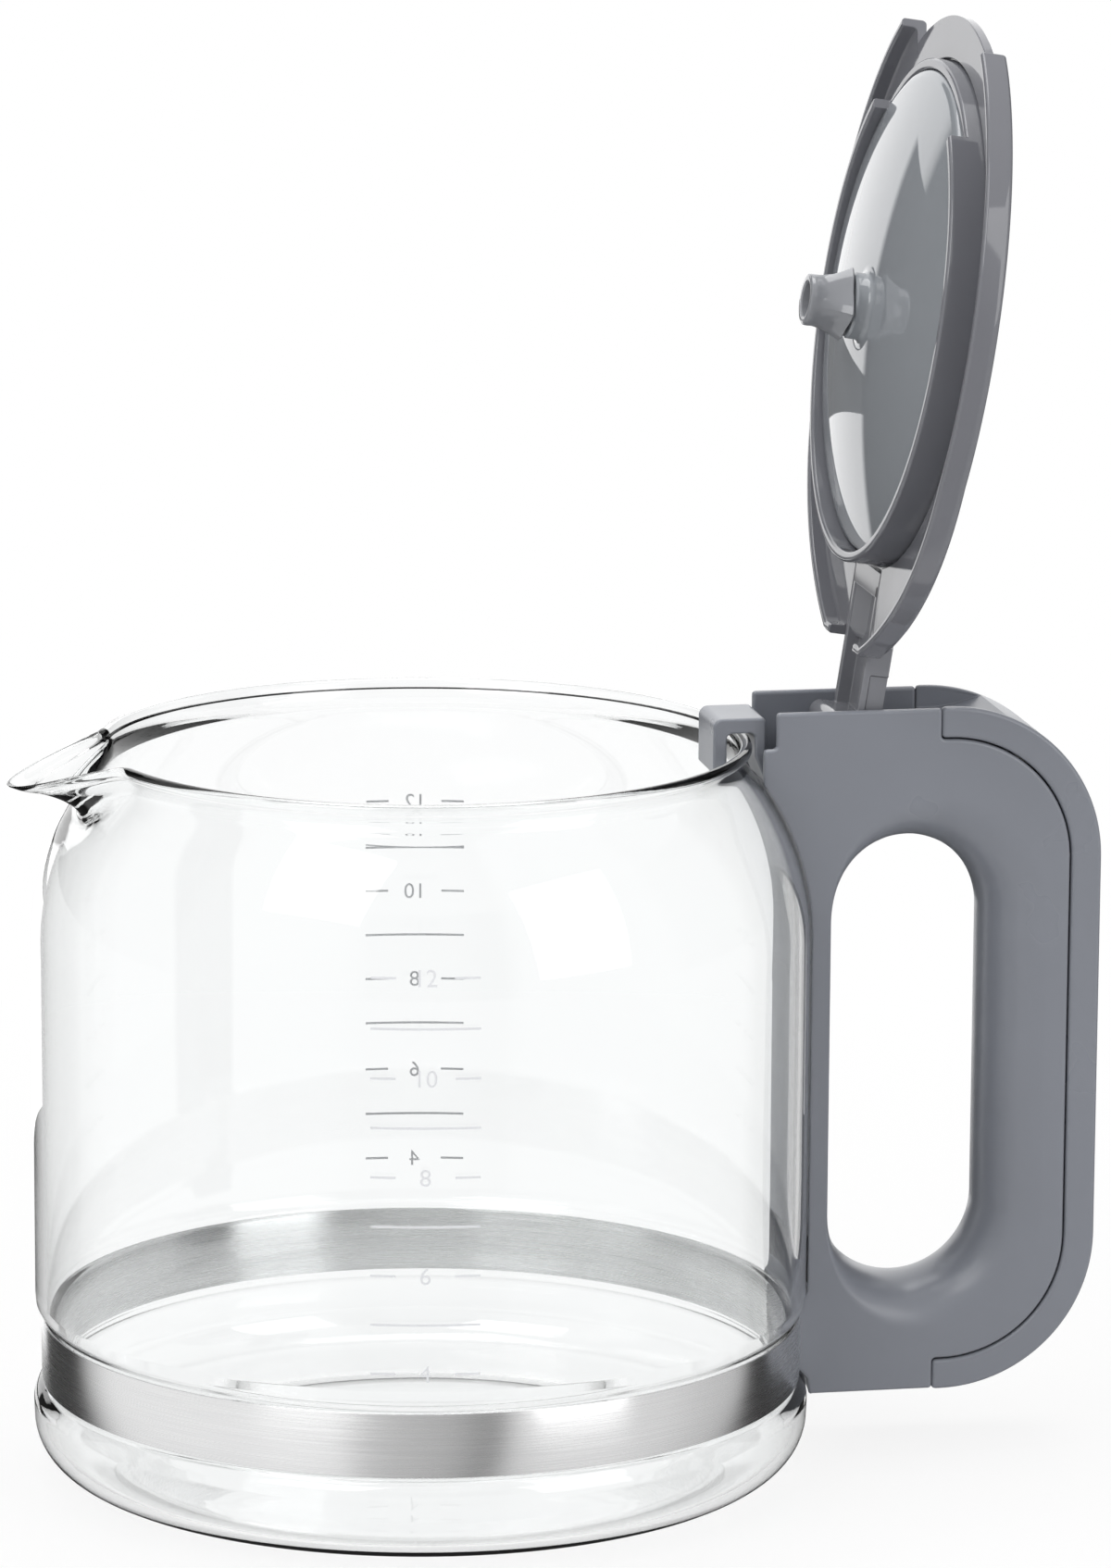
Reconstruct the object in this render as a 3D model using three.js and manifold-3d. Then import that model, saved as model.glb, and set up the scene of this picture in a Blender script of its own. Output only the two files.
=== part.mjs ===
// Coffee carafe: a glass jug in a steel band, a moulded handle and a hinged drip-through lid.
// Millimetres, +Z up. The origin is on the jug's axis, on the surface that it stands on.
// The handle is towards +X and the spout towards -X. The lid stands open, as it rests.
import * as THREE from 'three';
import { mergeVertices } from 'three/addons/utils/BufferGeometryUtils.js';
import Module from 'manifold-3d';

const wasm = await Module();
wasm.setup();

// Clearances
const seat = 0.3; // between pieces that rest on each other
const pinPlay = 0.2; // round the hinge pin
const runGap = 0.4; // beside and under moving pieces

// Glass jug
const jugRadius = 75.1;
const jugHeight = 144.6;
const glassWall = 2.0;
const floorThickness = 3.2;
const footRadius = 58.0;
const heelHeight = 11.6; // height where the rounded heel meets the wall
const heelRise = 4.7; // height of the heel above the table where it starts to round
const heelBulge = 0.4; // the heel stands this much proud of the wall
const shoulderHeight = 105.0; // the wall is straight up to here
const rimRadius = 62.3; // centre of the rim's bead
const rimBead = 1.2; // radius of the bead
const neckInset = 0.8; // the neck lies this far inside the bead's centre
const neckDrop = 4.2; // from the bead's top down to the neck
const grooveRamp = 1.6; // height of each sloping side of the band's groove

// Spout, pulled out of the rim
const spoutReach = 15.2;
const spoutDrop = 6.0;
const spoutHalfAngle = THREE.MathUtils.degToRad(18.5);
const spoutDepth = 16.4; // from the bead's centre down to where the spout starts
const spoutThroat = 3.0; // the throat under the lip is drawn in

// Steel band and its clamp
const bandBottom = 19.2;
const bandHeight = 12.35;
const bandThickness = 0.5;
const bandInset = 1.1; // the band's face lies this far inside the jug's wall
const earLength = 9.0; // the turned-out ends reach this far past the wall
const earSpread = 7.4; // from the middle to the inside of each end
const earLip = 3.8; // the ends are folded in by this much
const clampThickness = 4.7;
const clampMargin = 1.2; // the clamp is this much lower than the band, above and below
const screwRadius = 2.0;
const screwHeadRadius = 4.0;
const screwHeadHeight = 2.8;

// Handle
const handleWidth = 24.5;
const handleReach = 56.8; // from the jug's wall to the grip's outside
const handleRise = 5.1; // the handle's top above the rim
const handleBottom = 13.5;
const handleCorner = 30.4; // outer radius of both corners
const handleGlassGap = 0.4;
const handleWall = 2.7;
const cheekWall = 1.8; // each side of the hinge slot
const cheekSetback = 4.9; // from the bead's centre to the front of the cheeks
const ledgeDrop = 2.0; // the step in front of the cheeks lies this far below the rim
const ledgeSetback = 2.4; // from the bead's centre to the front of the step
const gripThickness = 5.8;
const gripLap = 1.7; // the cover's ends run this far past its corners
const fingerGapRadius = 15.5;
const fingerGapFillet = 8.0;
const strutFillet = 1.2; // the edges are much sharper on the side of the glass
const strutThickness = 3.7; // handle wall between the glass and the fingers
const fingerGapLift = 20.7; // from the handle's bottom to the finger gap
const fingerGapDrop = 26.5; // from the handle's top to the finger gap
const bossLength = 7.0; // wall that the screw's head pulls on
const lugReach = 3.4; // the grip cover's snap lugs go this far into the handle
const lugHeight = 6.0;
const lugSpacing = 44.0;
const scoopRadius = 30.0; // thumb scoop in the top of the grip cover
const scoopFloor = 1.6; // material left under it
const cavityFront = 1.4; // the grip's hollow starts this far behind the cover's top end

// Cushion strip
const cushionThickness = 1.0;
const cushionHeight = 9.0;
const cushionLift = 2.6; // above the groove
const cushionWidth = 23.0;

// Rim hook
const hookHalfWidth = 7.4;
const hookRise = 3.4; // top of the hook above the rim
const hookBar = 3.0; // thickness over the rim
const hookLeg = 2.7; // thickness of the leg inside the jug
const hookLegInset = 3.9; // from the bead's centre in to the leg
const hookLegDrop = 7.6; // the leg ends this far below the rim
const hookBack = 3.8; // from the bead's centre out to the hook's back
const hookTail = 6.2; // the tail goes this far into the handle, past the glass
const hookTailTop = 6.4; // below the rim
const hookTailThickness = 3.4;

// Hinge
const hingeReach = 18.2; // from the bead's centre
const hingeRise = 1.2; // above the rim
const pinRadius = 1.5;
const pinBite = 1.1; // the pin's ends go this far into the cheeks
const hubRadius = 3.3;
const openAngle = THREE.MathUtils.degToRad(98.8);

// Lid, with its sizes as it lies closed on the jug
const lidGap = 0.4; // under the skirt
const skirtHeight = 5.0;
const skirtWall = 1.8;
const plateThickness = 1.8;
const coverOverhang = 1.5; // the cover's spout end lies this far outside the bead's centre
const coverSideInset = 2.0; // its sides lie this far inside
const coverTailReach = 2.9; // from the bead's centre to the cover's hinge end
const coverTailHalfWidth = 15.0;
const coverTaper = 40.0; // length of the taper to the hinge end
const spoutOpening = THREE.MathUtils.degToRad(31.0); // each side of the spout
const tongueInset = 4.6; // from the bead's centre in to the tongue's end
const ringInset = 13.3; // from the bead's centre in to the ring
const ringWall = 2.1;
const ringDepth = 8.4; // from the cover's top to the ring's edge
const ringSpoutDepth = 3.7; // the same at the spout
const ringStep = 37.5; // from the axis to the ring's two steps
const ringFlange = 3.5;
const ringFlangeThickness = 1.0;
const funnelWall = 1.8;
const funnelRimDepth = 6.2; // from the cover's top to where the dome starts
const funnelDepth = 11.4; // from the cover's top to the dome's lowest point
const collarRadius = 6.4;
const collarLength = 4.3;
const dripBore = 3.4; // radius
const nozzleLength = 6.9;
const nozzleTipRadius = 5.0;
const nozzleLobe = 7.1; // radius over the flutes at the base
const nozzleWaist = 5.6; // radius between the flutes at the base
const nozzleSpigot = 3.0;
const nozzleWall = 0.9;

// Lid arm
const armHalfWidth = 10.0;
const armFlange = 1.8;
const armLift = 3.2; // the flanges' edge above the skirt's edge
const armDepth = 5.0;
const armWeb = 2.2;
const armOverlap = 13.2; // the arm runs this far in under the cover's end
const armPad = 1.4; // pad under the channel's web, from the arm's end to just past the cover's
const armPadPast = 1.3;
const leverLength = 14.5;
const leverThickness = 3.0;

// Smoothness of the round shapes
const jugSides = 52;
const ringSides = 44;
const smallSides = 20;
const shoulderSteps = 8;

// Places worked out from the sizes
const beadHeight = jugHeight - rimBead;
const neckRadius = rimRadius - neckInset;
const neckHeight = jugHeight - neckDrop;
const shoulderInset = jugRadius - neckRadius;
const shoulderLift = neckHeight - shoulderHeight;
const shoulderRadius = (shoulderInset ** 2 + shoulderLift ** 2) / (2 * shoulderInset);
const bandRadius = jugRadius - bandInset;
const bandTop = bandBottom + bandHeight;
const bandMiddle = bandBottom + bandHeight / 2;
const grooveRadius = bandRadius - bandThickness - seat;
const grooveBottom = bandBottom - seat;
const grooveTop = bandTop + seat;
const halfWidth = handleWidth / 2;
const handleTop = jugHeight + handleRise;
const gripX = jugRadius + handleReach;
const cornerX = gripX - handleCorner;
const topCornerZ = handleTop - handleCorner;
const lowCornerZ = handleBottom + handleCorner;
const gripEndX = cornerX - gripLap;
const gripInnerRadius = handleCorner - gripThickness;
const partingRadius = gripInnerRadius - seat;
const slotHalfWidth = halfWidth - cheekWall;
const hollowHalfWidth = halfWidth - handleWall;
const fingerGapX = jugRadius + handleGlassGap + strutThickness + fingerGapRadius;
const fingerGapLow = handleBottom + fingerGapLift + fingerGapRadius;
const fingerGapHigh = handleTop - fingerGapDrop - fingerGapRadius;
const hingeX = rimRadius + hingeReach;
const hingeZ = jugHeight + hingeRise;
const skirtEdge = jugHeight + lidGap;
const coverTop = skirtEdge + skirtHeight;
const plateUnder = coverTop - plateThickness;
const coverTailX = rimRadius + coverTailReach;
const coverHalfLength = rimRadius + coverOverhang;
const coverHalfWidth = rimRadius - coverSideInset;
const tongueRadius = rimRadius - tongueInset;
const ringRadius = rimRadius - ringInset;
const armEdge = skirtEdge + armLift;
const armTop = armEdge + armDepth;
const armEndX = coverTailX - armOverlap;
const leverEdge = armTop - leverThickness;
const leverSweep = Math.hypot(leverLength, armTop - hingeZ) + runGap;
const hubFloor = hingeZ - hubRadius - runGap;

// Radius of the jug's outside on its rounded shoulder.
function shoulderX(z) {
  const rise = z - shoulderHeight;
  return jugRadius - shoulderRadius + Math.sqrt(shoulderRadius ** 2 - rise ** 2);
}

// A closed geometry as a solid that can be joined and cut.
function solid(geometry) {
  const bare = geometry.clone();
  bare.deleteAttribute('normal');
  bare.deleteAttribute('uv');
  const merged = mergeVertices(bare, 1e-4);
  const vertProperties = Float32Array.from(merged.attributes.position.array);
  const corners = merged.index.array;
  const faces = [];
  for (let i = 0; i < corners.length; i += 3) {
    const [a, b, c] = [corners[i], corners[i + 1], corners[i + 2]];
    if (a !== b && b !== c && c !== a) faces.push(a, b, c);
  }
  const triVerts = Uint32Array.from(signedVolume(vertProperties, faces) < 0 ? faces.reverse() : faces);
  return new wasm.Manifold(new wasm.Mesh({ numProp: 3, vertProperties, triVerts }));
}

// Volume inside a closed surface, negative where its faces point inwards.
function signedVolume(points, faces) {
  const corner = (i) => new THREE.Vector3().fromArray(points, faces[i] * 3);
  let volume = 0;
  for (let i = 0; i < faces.length; i += 3) {
    volume += corner(i).dot(corner(i + 1).cross(corner(i + 2))) / 6;
  }
  return volume;
}

// A profile of [radius, height] points turned about Z.
function turned(profile, sides) {
  const points = profile.map(([radius, height]) => new THREE.Vector2(radius, height));
  return new THREE.LatheGeometry(points, sides).rotateX(Math.PI / 2);
}

// An outline in X and Z, given thickness along Y.
function slab(outline, y0, y1, arcSteps = 8) {
  const options = { depth: y1 - y0, bevelEnabled: false, curveSegments: arcSteps };
  return solid(new THREE.ExtrudeGeometry(outline, options).rotateX(Math.PI / 2).translate(0, y1, 0));
}

// An outline in X and Y, given height along Z.
function plate(outline, z0, z1, arcSteps = 12) {
  const options = { depth: z1 - z0, bevelEnabled: false, curveSegments: arcSteps };
  return solid(new THREE.ExtrudeGeometry(outline, options).translate(0, 0, z0));
}

function block(x0, x1, y0, y1, z0, z1) {
  const geometry = new THREE.BoxGeometry(x1 - x0, y1 - y0, z1 - z0);
  return solid(geometry.translate((x0 + x1) / 2, (y0 + y1) / 2, (z0 + z1) / 2));
}

function rodAlongY(radius, y0, y1, x, z, sides = smallSides) {
  const geometry = new THREE.CylinderGeometry(radius, radius, y1 - y0, sides);
  return solid(geometry.translate(x, (y0 + y1) / 2, z));
}

function rodAlongX(radius, x0, x1, z, sides = smallSides) {
  const geometry = new THREE.CylinderGeometry(radius, radius, x1 - x0, sides);
  return solid(geometry.rotateZ(Math.PI / 2).translate((x0 + x1) / 2, 0, z));
}

function disc(radius, z0, z1, sides = ringSides) {
  return solid(turned([[0, z0], [radius, z0], [radius, z1], [0, z1]], sides));
}

function polygon(points) {
  return new THREE.Shape(points.map(([x, y]) => new THREE.Vector2(x, y)));
}

// Points on an arc in a [radius, height] profile.
function arcPoints(centreX, centreZ, radius, from, to, steps) {
  return Array.from({ length: steps + 1 }, (_, i) => {
    const angle = from + ((to - from) * i) / steps;
    return [centreX + radius * Math.cos(angle), centreZ + radius * Math.sin(angle)];
  });
}

const materials = {
  glass: { color: 0xe6ecee, roughness: 0.05, metalness: 0, transparent: true, opacity: 0.35 },
  steel: { color: 0xb9bbbd, roughness: 0.3, metalness: 1 },
  plastic: { color: 0x80838b, roughness: 0.5, metalness: 0 },
  gloss: { color: 0x7f8589, roughness: 0.15, metalness: 0 },
  rubber: { color: 0x303235, roughness: 0.9, metalness: 0 },
};

function piece(name, shape, material) {
  const { vertProperties, triVerts } = shape.getMesh();
  const geometry = new THREE.BufferGeometry();
  geometry.setAttribute('position', new THREE.BufferAttribute(Float32Array.from(vertProperties), 3));
  geometry.setIndex(new THREE.BufferAttribute(Uint32Array.from(triVerts), 1));
  geometry.computeVertexNormals();
  const mesh = new THREE.Mesh(geometry, new THREE.MeshStandardMaterial(materials[material]));
  mesh.name = name;
  return mesh;
}

// Outside of the jug from the foot to the neck, moved out by a gap, or in by a wall.
function jugSide(offset) {
  const wall = jugRadius + offset;
  const heel = wall + heelBulge;
  const shoulderEnd = Math.asin(shoulderLift / shoulderRadius);
  const centreX = jugRadius - shoulderRadius;
  return [
    [(footRadius + heel) / 2, heelRise / 2 - offset * 0.9],
    [heel - heelHeight / 2, heelRise - offset * 0.8],
    [heel - heelHeight / 6, heelRise + heelHeight * 0.26 - offset * 0.5],
    [heel, heelHeight],
    [heel, grooveBottom - grooveRamp],
    [grooveRadius + offset, grooveBottom],
    [grooveRadius + offset, grooveTop],
    [wall, grooveTop + grooveRamp],
    ...arcPoints(centreX, shoulderHeight, shoulderRadius + offset, 0, shoulderEnd, shoulderSteps),
  ];
}

// Pulls the rim out into the spout. A point moves by its height and its angle from -X.
function pullSpout(geometry) {
  const place = geometry.attributes.position;
  const point = new THREE.Vector3();
  const start = beadHeight - spoutDepth;
  for (let i = 0; i < place.count; i += 1) {
    point.fromBufferAttribute(place, i);
    const radius = Math.hypot(point.x, point.y);
    const turn = crowd(Math.atan2(point.y, -point.x));
    const across = Math.min(1, Math.abs(turn) / spoutHalfAngle);
    const pull = 0.5 + 0.5 * Math.cos(Math.PI * across);
    const rise = Math.max(0, (point.z - start) / spoutDepth);
    const throat = spoutThroat * Math.sin(Math.PI * Math.min(1, rise)) ** 2;
    const reach = radius + pull * (spoutReach * rise ** 2 - throat);
    const height = point.z - pull * spoutDrop * rise;
    place.setXYZ(i, -reach * Math.cos(turn), reach * Math.sin(turn), height);
  }
  return geometry;
}

// Gathers the jug's sides towards the spout, where the shape is finest.
function crowd(angle) {
  return angle - 0.45 * Math.sin(angle);
}

function glassJug() {
  const inside = jugSide(-glassWall).reverse();
  const floorEdge = footRadius - glassWall;
  const profile = [
    [0, 0],
    [footRadius, 0],
    ...jugSide(0),
    ...arcPoints(rimRadius, beadHeight, rimBead, -Math.PI / 3, Math.PI, 6),
    ...inside,
    [floorEdge, floorThickness],
    [0, floorThickness],
  ];
  return solid(pullSpout(turned(profile, jugSides)));
}

// Space that the jug takes up, with room round it for the handle to be cut against.
function jugEnvelope(gap) {
  const top = handleTop + handleWall;
  const bead = rimRadius + rimBead + gap;
  return solid(turned([
    [0, 0],
    [jugRadius + heelBulge + gap, 0],
    [jugRadius + heelBulge + gap, grooveBottom - grooveRamp],
    [bandRadius + gap, grooveBottom],
    [bandRadius + gap, grooveTop],
    [jugRadius + gap, grooveTop + grooveRamp],
    [jugRadius + gap, shoulderHeight],
    ...jugSide(gap).slice(-shoulderSteps),
    [bead, beadHeight - rimBead],
    [bead, top],
    [0, top],
  ], jugSides * 2));
}

// Strap round the jug, its ends turned out and folded in behind the clamp.
function steelBand() {
  const inner = bandRadius - bandThickness;
  const outerY = earSpread + bandThickness;
  const end = jugRadius + earLength;
  const lipY = earSpread - earLip;
  const outline = new THREE.Shape();
  const outerTurn = Math.asin(outerY / bandRadius);
  const innerTurn = Math.asin(earSpread / inner);
  outline.absarc(0, 0, bandRadius, outerTurn, 2 * Math.PI - outerTurn, false);
  outline.lineTo(end, -outerY);
  outline.lineTo(end, -lipY);
  outline.lineTo(end - bandThickness, -lipY);
  outline.lineTo(end - bandThickness, -earSpread);
  outline.absarc(0, 0, inner, 2 * Math.PI - innerTurn, innerTurn, true);
  outline.lineTo(end - bandThickness, earSpread);
  outline.lineTo(end - bandThickness, lipY);
  outline.lineTo(end, lipY);
  outline.lineTo(end, outerY);
  return plate(outline, bandBottom, bandTop, jugSides / 2);
}

const clampBack = jugRadius + earLength - bandThickness - seat;
const bossFront = jugRadius + earLength + seat;
const bossBack = bossFront + bossLength;

function bandClamp() {
  const half = earSpread - seat;
  const low = bandBottom + clampMargin;
  const high = bandTop - clampMargin;
  const body = block(clampBack - clampThickness, clampBack, -half, half, low, high);
  const thread = rodAlongX(screwRadius + seat, clampBack - 2 * clampThickness, clampBack + 1, bandMiddle);
  return body.subtract(thread);
}

function bandScrew() {
  const headFace = bossBack + seat;
  const shank = rodAlongX(screwRadius, clampBack - clampThickness, headFace + seat, bandMiddle);
  const head = rodAlongX(screwHeadRadius, headFace, headFace + screwHeadHeight, bandMiddle);
  return shank.add(head);
}

// Outline of the handle inside the parting line, from the rim to the foot.
function handleOutline() {
  const front = rimRadius + ledgeSetback;
  const cheekFront = rimRadius + cheekSetback;
  const ledge = jugHeight - ledgeDrop;
  const outline = new THREE.Shape();
  outline.moveTo(front, handleBottom);
  outline.lineTo(gripEndX, handleBottom);
  outline.lineTo(gripEndX, lowCornerZ - partingRadius);
  outline.lineTo(cornerX, lowCornerZ - partingRadius);
  outline.absarc(cornerX, lowCornerZ, partingRadius, -Math.PI / 2, 0, false);
  outline.absarc(cornerX, topCornerZ, partingRadius, 0, Math.PI / 2, false);
  outline.lineTo(gripEndX, topCornerZ + partingRadius);
  outline.lineTo(gripEndX, handleTop);
  outline.lineTo(cheekFront, handleTop);
  outline.lineTo(cheekFront, ledge);
  outline.lineTo(front, ledge);
  return outline;
}

// Finger opening, a long round-ended hole whose edges are well rounded on both faces.
function fingerOpening() {
  const flare = arcPoints(
    fingerGapRadius + fingerGapFillet, halfWidth - fingerGapFillet, fingerGapFillet, Math.PI, Math.PI / 2, 4,
  );
  const face = halfWidth + 1;
  const side = [...flare, [fingerGapRadius + fingerGapFillet, face]];
  const other = side.map(([radius, y]) => [radius, -y]).reverse();
  const profile = [[0, -face], ...other, ...side, [0, face]];
  const points = profile.map(([radius, y]) => new THREE.Vector2(radius, y));
  const geometry = new THREE.LatheGeometry(points, 28, Math.PI / 28);
  const place = geometry.attributes.position;
  for (let i = 0; i < place.count; i += 1) {
    const [x, y, z] = [place.getX(i), place.getY(i), place.getZ(i)];
    const radius = Math.hypot(x, z);
    const lean = radius > 1 ? 0.5 - (0.5 * x) / radius : 0;
    const flareShare = 1 - (1 - strutFillet / fingerGapFillet) * lean ** 2;
    const flared = fingerGapRadius + (radius - fingerGapRadius) * flareShare;
    const scale = radius > fingerGapRadius ? flared / radius : 1;
    const middle = z > 0 ? fingerGapHigh : fingerGapLow;
    const onAxis = radius < 1e-6;
    place.setXYZ(i, x * scale, y, z * scale + (onAxis ? (fingerGapHigh + fingerGapLow) / 2 : middle));
  }
  return solid(geometry.translate(fingerGapX, 0, 0));
}

// Hollow of the grip, open to the rear, where the grip cover closes it.
function gripHollow() {
  const front = gripEndX + cavityFront;
  const inner = fingerGapRadius + handleWall;
  const outer = partingRadius + 1;
  const run = front - fingerGapX;
  const turn = Math.acos(run / inner);
  const outline = new THREE.Shape();
  outline.moveTo(front, fingerGapLow - inner * Math.sin(turn));
  outline.lineTo(front, lowCornerZ - outer + handleWall);
  outline.lineTo(cornerX, lowCornerZ - outer + handleWall);
  outline.absarc(cornerX, lowCornerZ, outer, -1.2, 0, false);
  outline.absarc(cornerX, topCornerZ, outer, 0, 1.2, false);
  outline.lineTo(cornerX, topCornerZ + outer - handleWall);
  outline.lineTo(front, topCornerZ + outer - handleWall);
  outline.lineTo(front, fingerGapHigh + inner * Math.sin(turn));
  outline.absarc(fingerGapX, fingerGapHigh, inner, turn, 0, true);
  outline.absarc(fingerGapX, fingerGapLow, inner, 0, -turn, true);
  return slab(outline, -hollowHalfWidth, hollowHalfWidth);
}

// Slot between the hinge cheeks, with a pit behind the pin that the lever swings down into.
function hingeSlot() {
  const front = rimRadius - hookBack;
  const top = handleTop + 1;
  const floor = topCornerZ + partingRadius;
  const stopTurn = -Math.acos(leverStop() / leverSweep);
  const floorTurn = -Math.asin((hingeZ - floor) / leverSweep);
  const outline = new THREE.Shape();
  outline.moveTo(front, top);
  outline.lineTo(front, hubFloor);
  outline.lineTo(hingeX + leverStop(), hubFloor);
  outline.absarc(hingeX, hingeZ, leverSweep, stopTurn, floorTurn, false);
  outline.lineTo(gripEndX + 1, floor);
  outline.lineTo(gripEndX + 1, top);
  return slab(outline, -slotHalfWidth, slotHalfWidth);
}

// How far behind the pin the open lever's end stands, less its clearance.
function leverStop() {
  const edge = leverEdge - hingeZ;
  return leverLength * Math.cos(openAngle) + edge * Math.sin(openAngle) - runGap;
}

function hookTailBox() {
  const high = jugHeight - hookTailTop;
  const low = high - hookTailThickness;
  return { low, high, end: shoulderX(low) + handleGlassGap + hookTail };
}

function cushionSpan() {
  const low = grooveTop + grooveRamp + cushionLift;
  return { low, high: low + cushionHeight };
}

// A strip of the jug's wall in front of the handle, between two radii.
function wallStrip(inner, outer, width, low, high) {
  const sides = jugSides * 2;
  const ring = disc(outer, low, high, sides).subtract(disc(inner, low - 1, high + 1, sides));
  return ring.intersect(block(jugRadius / 2, jugRadius * 2, -width / 2, width / 2, low - 1, high + 1));
}

function handleBody() {
  const tail = hookTailBox();
  const cushion = cushionSpan();
  const earRoom = earSpread + bandThickness + seat;
  const pocketFront = rimRadius - hookBack;
  const reach = jugRadius + 2 * handleReach;
  const screwRoom = screwHeadRadius + seat;
  const pinEnd = slotHalfWidth + pinBite + seat;
  return slab(handleOutline(), -halfWidth, halfWidth, 10)
    .subtract(jugEnvelope(handleGlassGap))
    .subtract(fingerOpening())
    .subtract(gripHollow())
    .subtract(hingeSlot())
    .subtract(block(pocketFront, tail.end + seat, -slotHalfWidth, slotHalfWidth, tail.low - seat, handleTop))
    .subtract(block(0, bossFront, -earRoom, earRoom, bandBottom - seat, bandTop + seat))
    .subtract(rodAlongX(screwRadius + seat, bossFront - 1, bossBack + 1, bandMiddle))
    .subtract(block(bossBack, reach, -screwRoom, screwRoom, bandMiddle - screwRoom, bandMiddle + screwRoom))
    .subtract(rodAlongY(pinRadius + pinPlay, -pinEnd, pinEnd, hingeX, hingeZ))
    .subtract(wallStrip(
      jugRadius, jugRadius + cushionThickness + 2 * seat, cushionWidth + 2 * seat,
      cushion.low - seat, cushion.high + seat,
    ));
}

// Outer half of the grip, with two lugs that snap into the hollow and a scoop for the thumb.
function gripCover() {
  const inner = gripInnerRadius;
  const end = gripEndX + seat;
  const outline = new THREE.Shape();
  outline.moveTo(end, handleBottom);
  outline.lineTo(cornerX, handleBottom);
  outline.absarc(cornerX, lowCornerZ, handleCorner, -Math.PI / 2, 0, false);
  outline.absarc(cornerX, topCornerZ, handleCorner, 0, Math.PI / 2, false);
  outline.lineTo(end, handleTop);
  outline.lineTo(end, topCornerZ + inner);
  outline.lineTo(cornerX, topCornerZ + inner);
  outline.absarc(cornerX, topCornerZ, inner, Math.PI / 2, 0, true);
  outline.absarc(cornerX, lowCornerZ, inner, 0, -Math.PI / 2, true);
  outline.lineTo(end, lowCornerZ - inner);
  let cover = slab(outline, -halfWidth, halfWidth, 10);
  const lugHalf = hollowHalfWidth - seat;
  const face = cornerX + inner;
  const middle = (topCornerZ + lowCornerZ) / 2;
  for (const side of [-1, 1]) {
    const z = middle + (side * lugSpacing) / 2;
    const low = z - lugHeight / 2;
    cover = cover.add(block(face - lugReach, face + 1, -lugHalf, lugHalf, low, low + lugHeight));
  }
  const scoopZ = topCornerZ + inner + scoopFloor + scoopRadius;
  const scoopHalf = slotHalfWidth;
  return cover.subtract(rodAlongY(scoopRadius, -scoopHalf, scoopHalf, cornerX, scoopZ, 3 * smallSides));
}

function rimHook() {
  const tail = hookTailBox();
  const top = jugHeight + hookRise;
  const bar = top - hookBar;
  const legX = rimRadius - hookLegInset;
  const back = rimRadius + hookBack;
  const window = rimRadius + rimBead + handleGlassGap;
  const tailRoot = shoulderX(tail.high) + handleGlassGap + back - window;
  const outline = polygon([
    [legX - hookLeg, jugHeight - hookLegDrop],
    [legX, jugHeight - hookLegDrop],
    [legX, bar],
    [window, bar],
    [window, neckHeight],
    [shoulderX(tail.low) + handleGlassGap, tail.low],
    [tail.end, tail.low],
    [tail.end, tail.high],
    [tailRoot, tail.high],
    [back, neckHeight],
    [back, top],
    [legX - hookLeg, top],
  ]);
  return slab(outline, -hookHalfWidth, hookHalfWidth);
}

function cushionStrip() {
  const { low, high } = cushionSpan();
  const inner = jugRadius + seat;
  return wallStrip(inner, inner + cushionThickness, cushionWidth, low, high);
}

function hingePin() {
  const end = slotHalfWidth + pinBite;
  return rodAlongY(pinRadius, -end, end, hingeX, hingeZ);
}

// Edge of the cover seen from above, drawn in by an inset. The spout end is cut back to the tongue.
function coverOutline(inset) {
  const length = coverHalfLength - inset;
  const width = coverHalfWidth - inset;
  const taperX = coverTailX - coverTaper;
  const taperTurn = Math.acos(taperX / length);
  const openTurn = Math.PI - spoutOpening;
  const tailX = coverTailX - inset;
  const tailY = coverTailHalfWidth - inset;
  const bendX = coverTailX - 0.36 * coverTaper - inset;
  const bendY = width - 0.28 * coverTaper;
  const taperY = width * Math.sin(taperTurn);
  const outline = new THREE.Shape();
  outline.moveTo(tailX, tailY);
  outline.quadraticCurveTo(bendX, bendY, taperX, taperY);
  outline.absellipse(0, 0, length, width, taperTurn, openTurn, false, 0);
  outline.absarc(0, 0, tongueRadius - inset, openTurn, 2 * Math.PI - openTurn, false);
  outline.absellipse(0, 0, length, width, 2 * Math.PI - openTurn, 2 * Math.PI - taperTurn, false, 0);
  outline.quadraticCurveTo(bendX, -bendY, tailX, -tailY);
  return outline;
}

// Wedge of the lid at the spout, below the plate.
function spoutWedge() {
  const far = 2 * coverHalfLength;
  const turn = Math.PI - spoutOpening;
  const outline = polygon([
    [0, 0],
    [far * Math.cos(turn), far * Math.sin(turn)],
    [-2 * far, 0],
    [far * Math.cos(turn), -far * Math.sin(turn)],
  ]);
  return plate(outline, skirtEdge - 1, plateUnder);
}

function lidCover() {
  const armRoom = armHalfWidth + seat;
  const past = coverTailX + 1;
  const whole = plate(coverOutline(0), skirtEdge, coverTop);
  const under = plate(coverOutline(skirtWall), skirtEdge - 1, plateUnder);
  return whole
    .subtract(under)
    .subtract(spoutWedge())
    .subtract(disc(ringRadius + seat, skirtEdge, coverTop + 1))
    .subtract(disc(ringRadius + ringFlange + seat, coverTop - ringFlangeThickness - seat, coverTop + 1))
    .subtract(block(0, past, -armRoom, armRoom, skirtEdge - 1, coverTop + 1));
}

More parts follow.
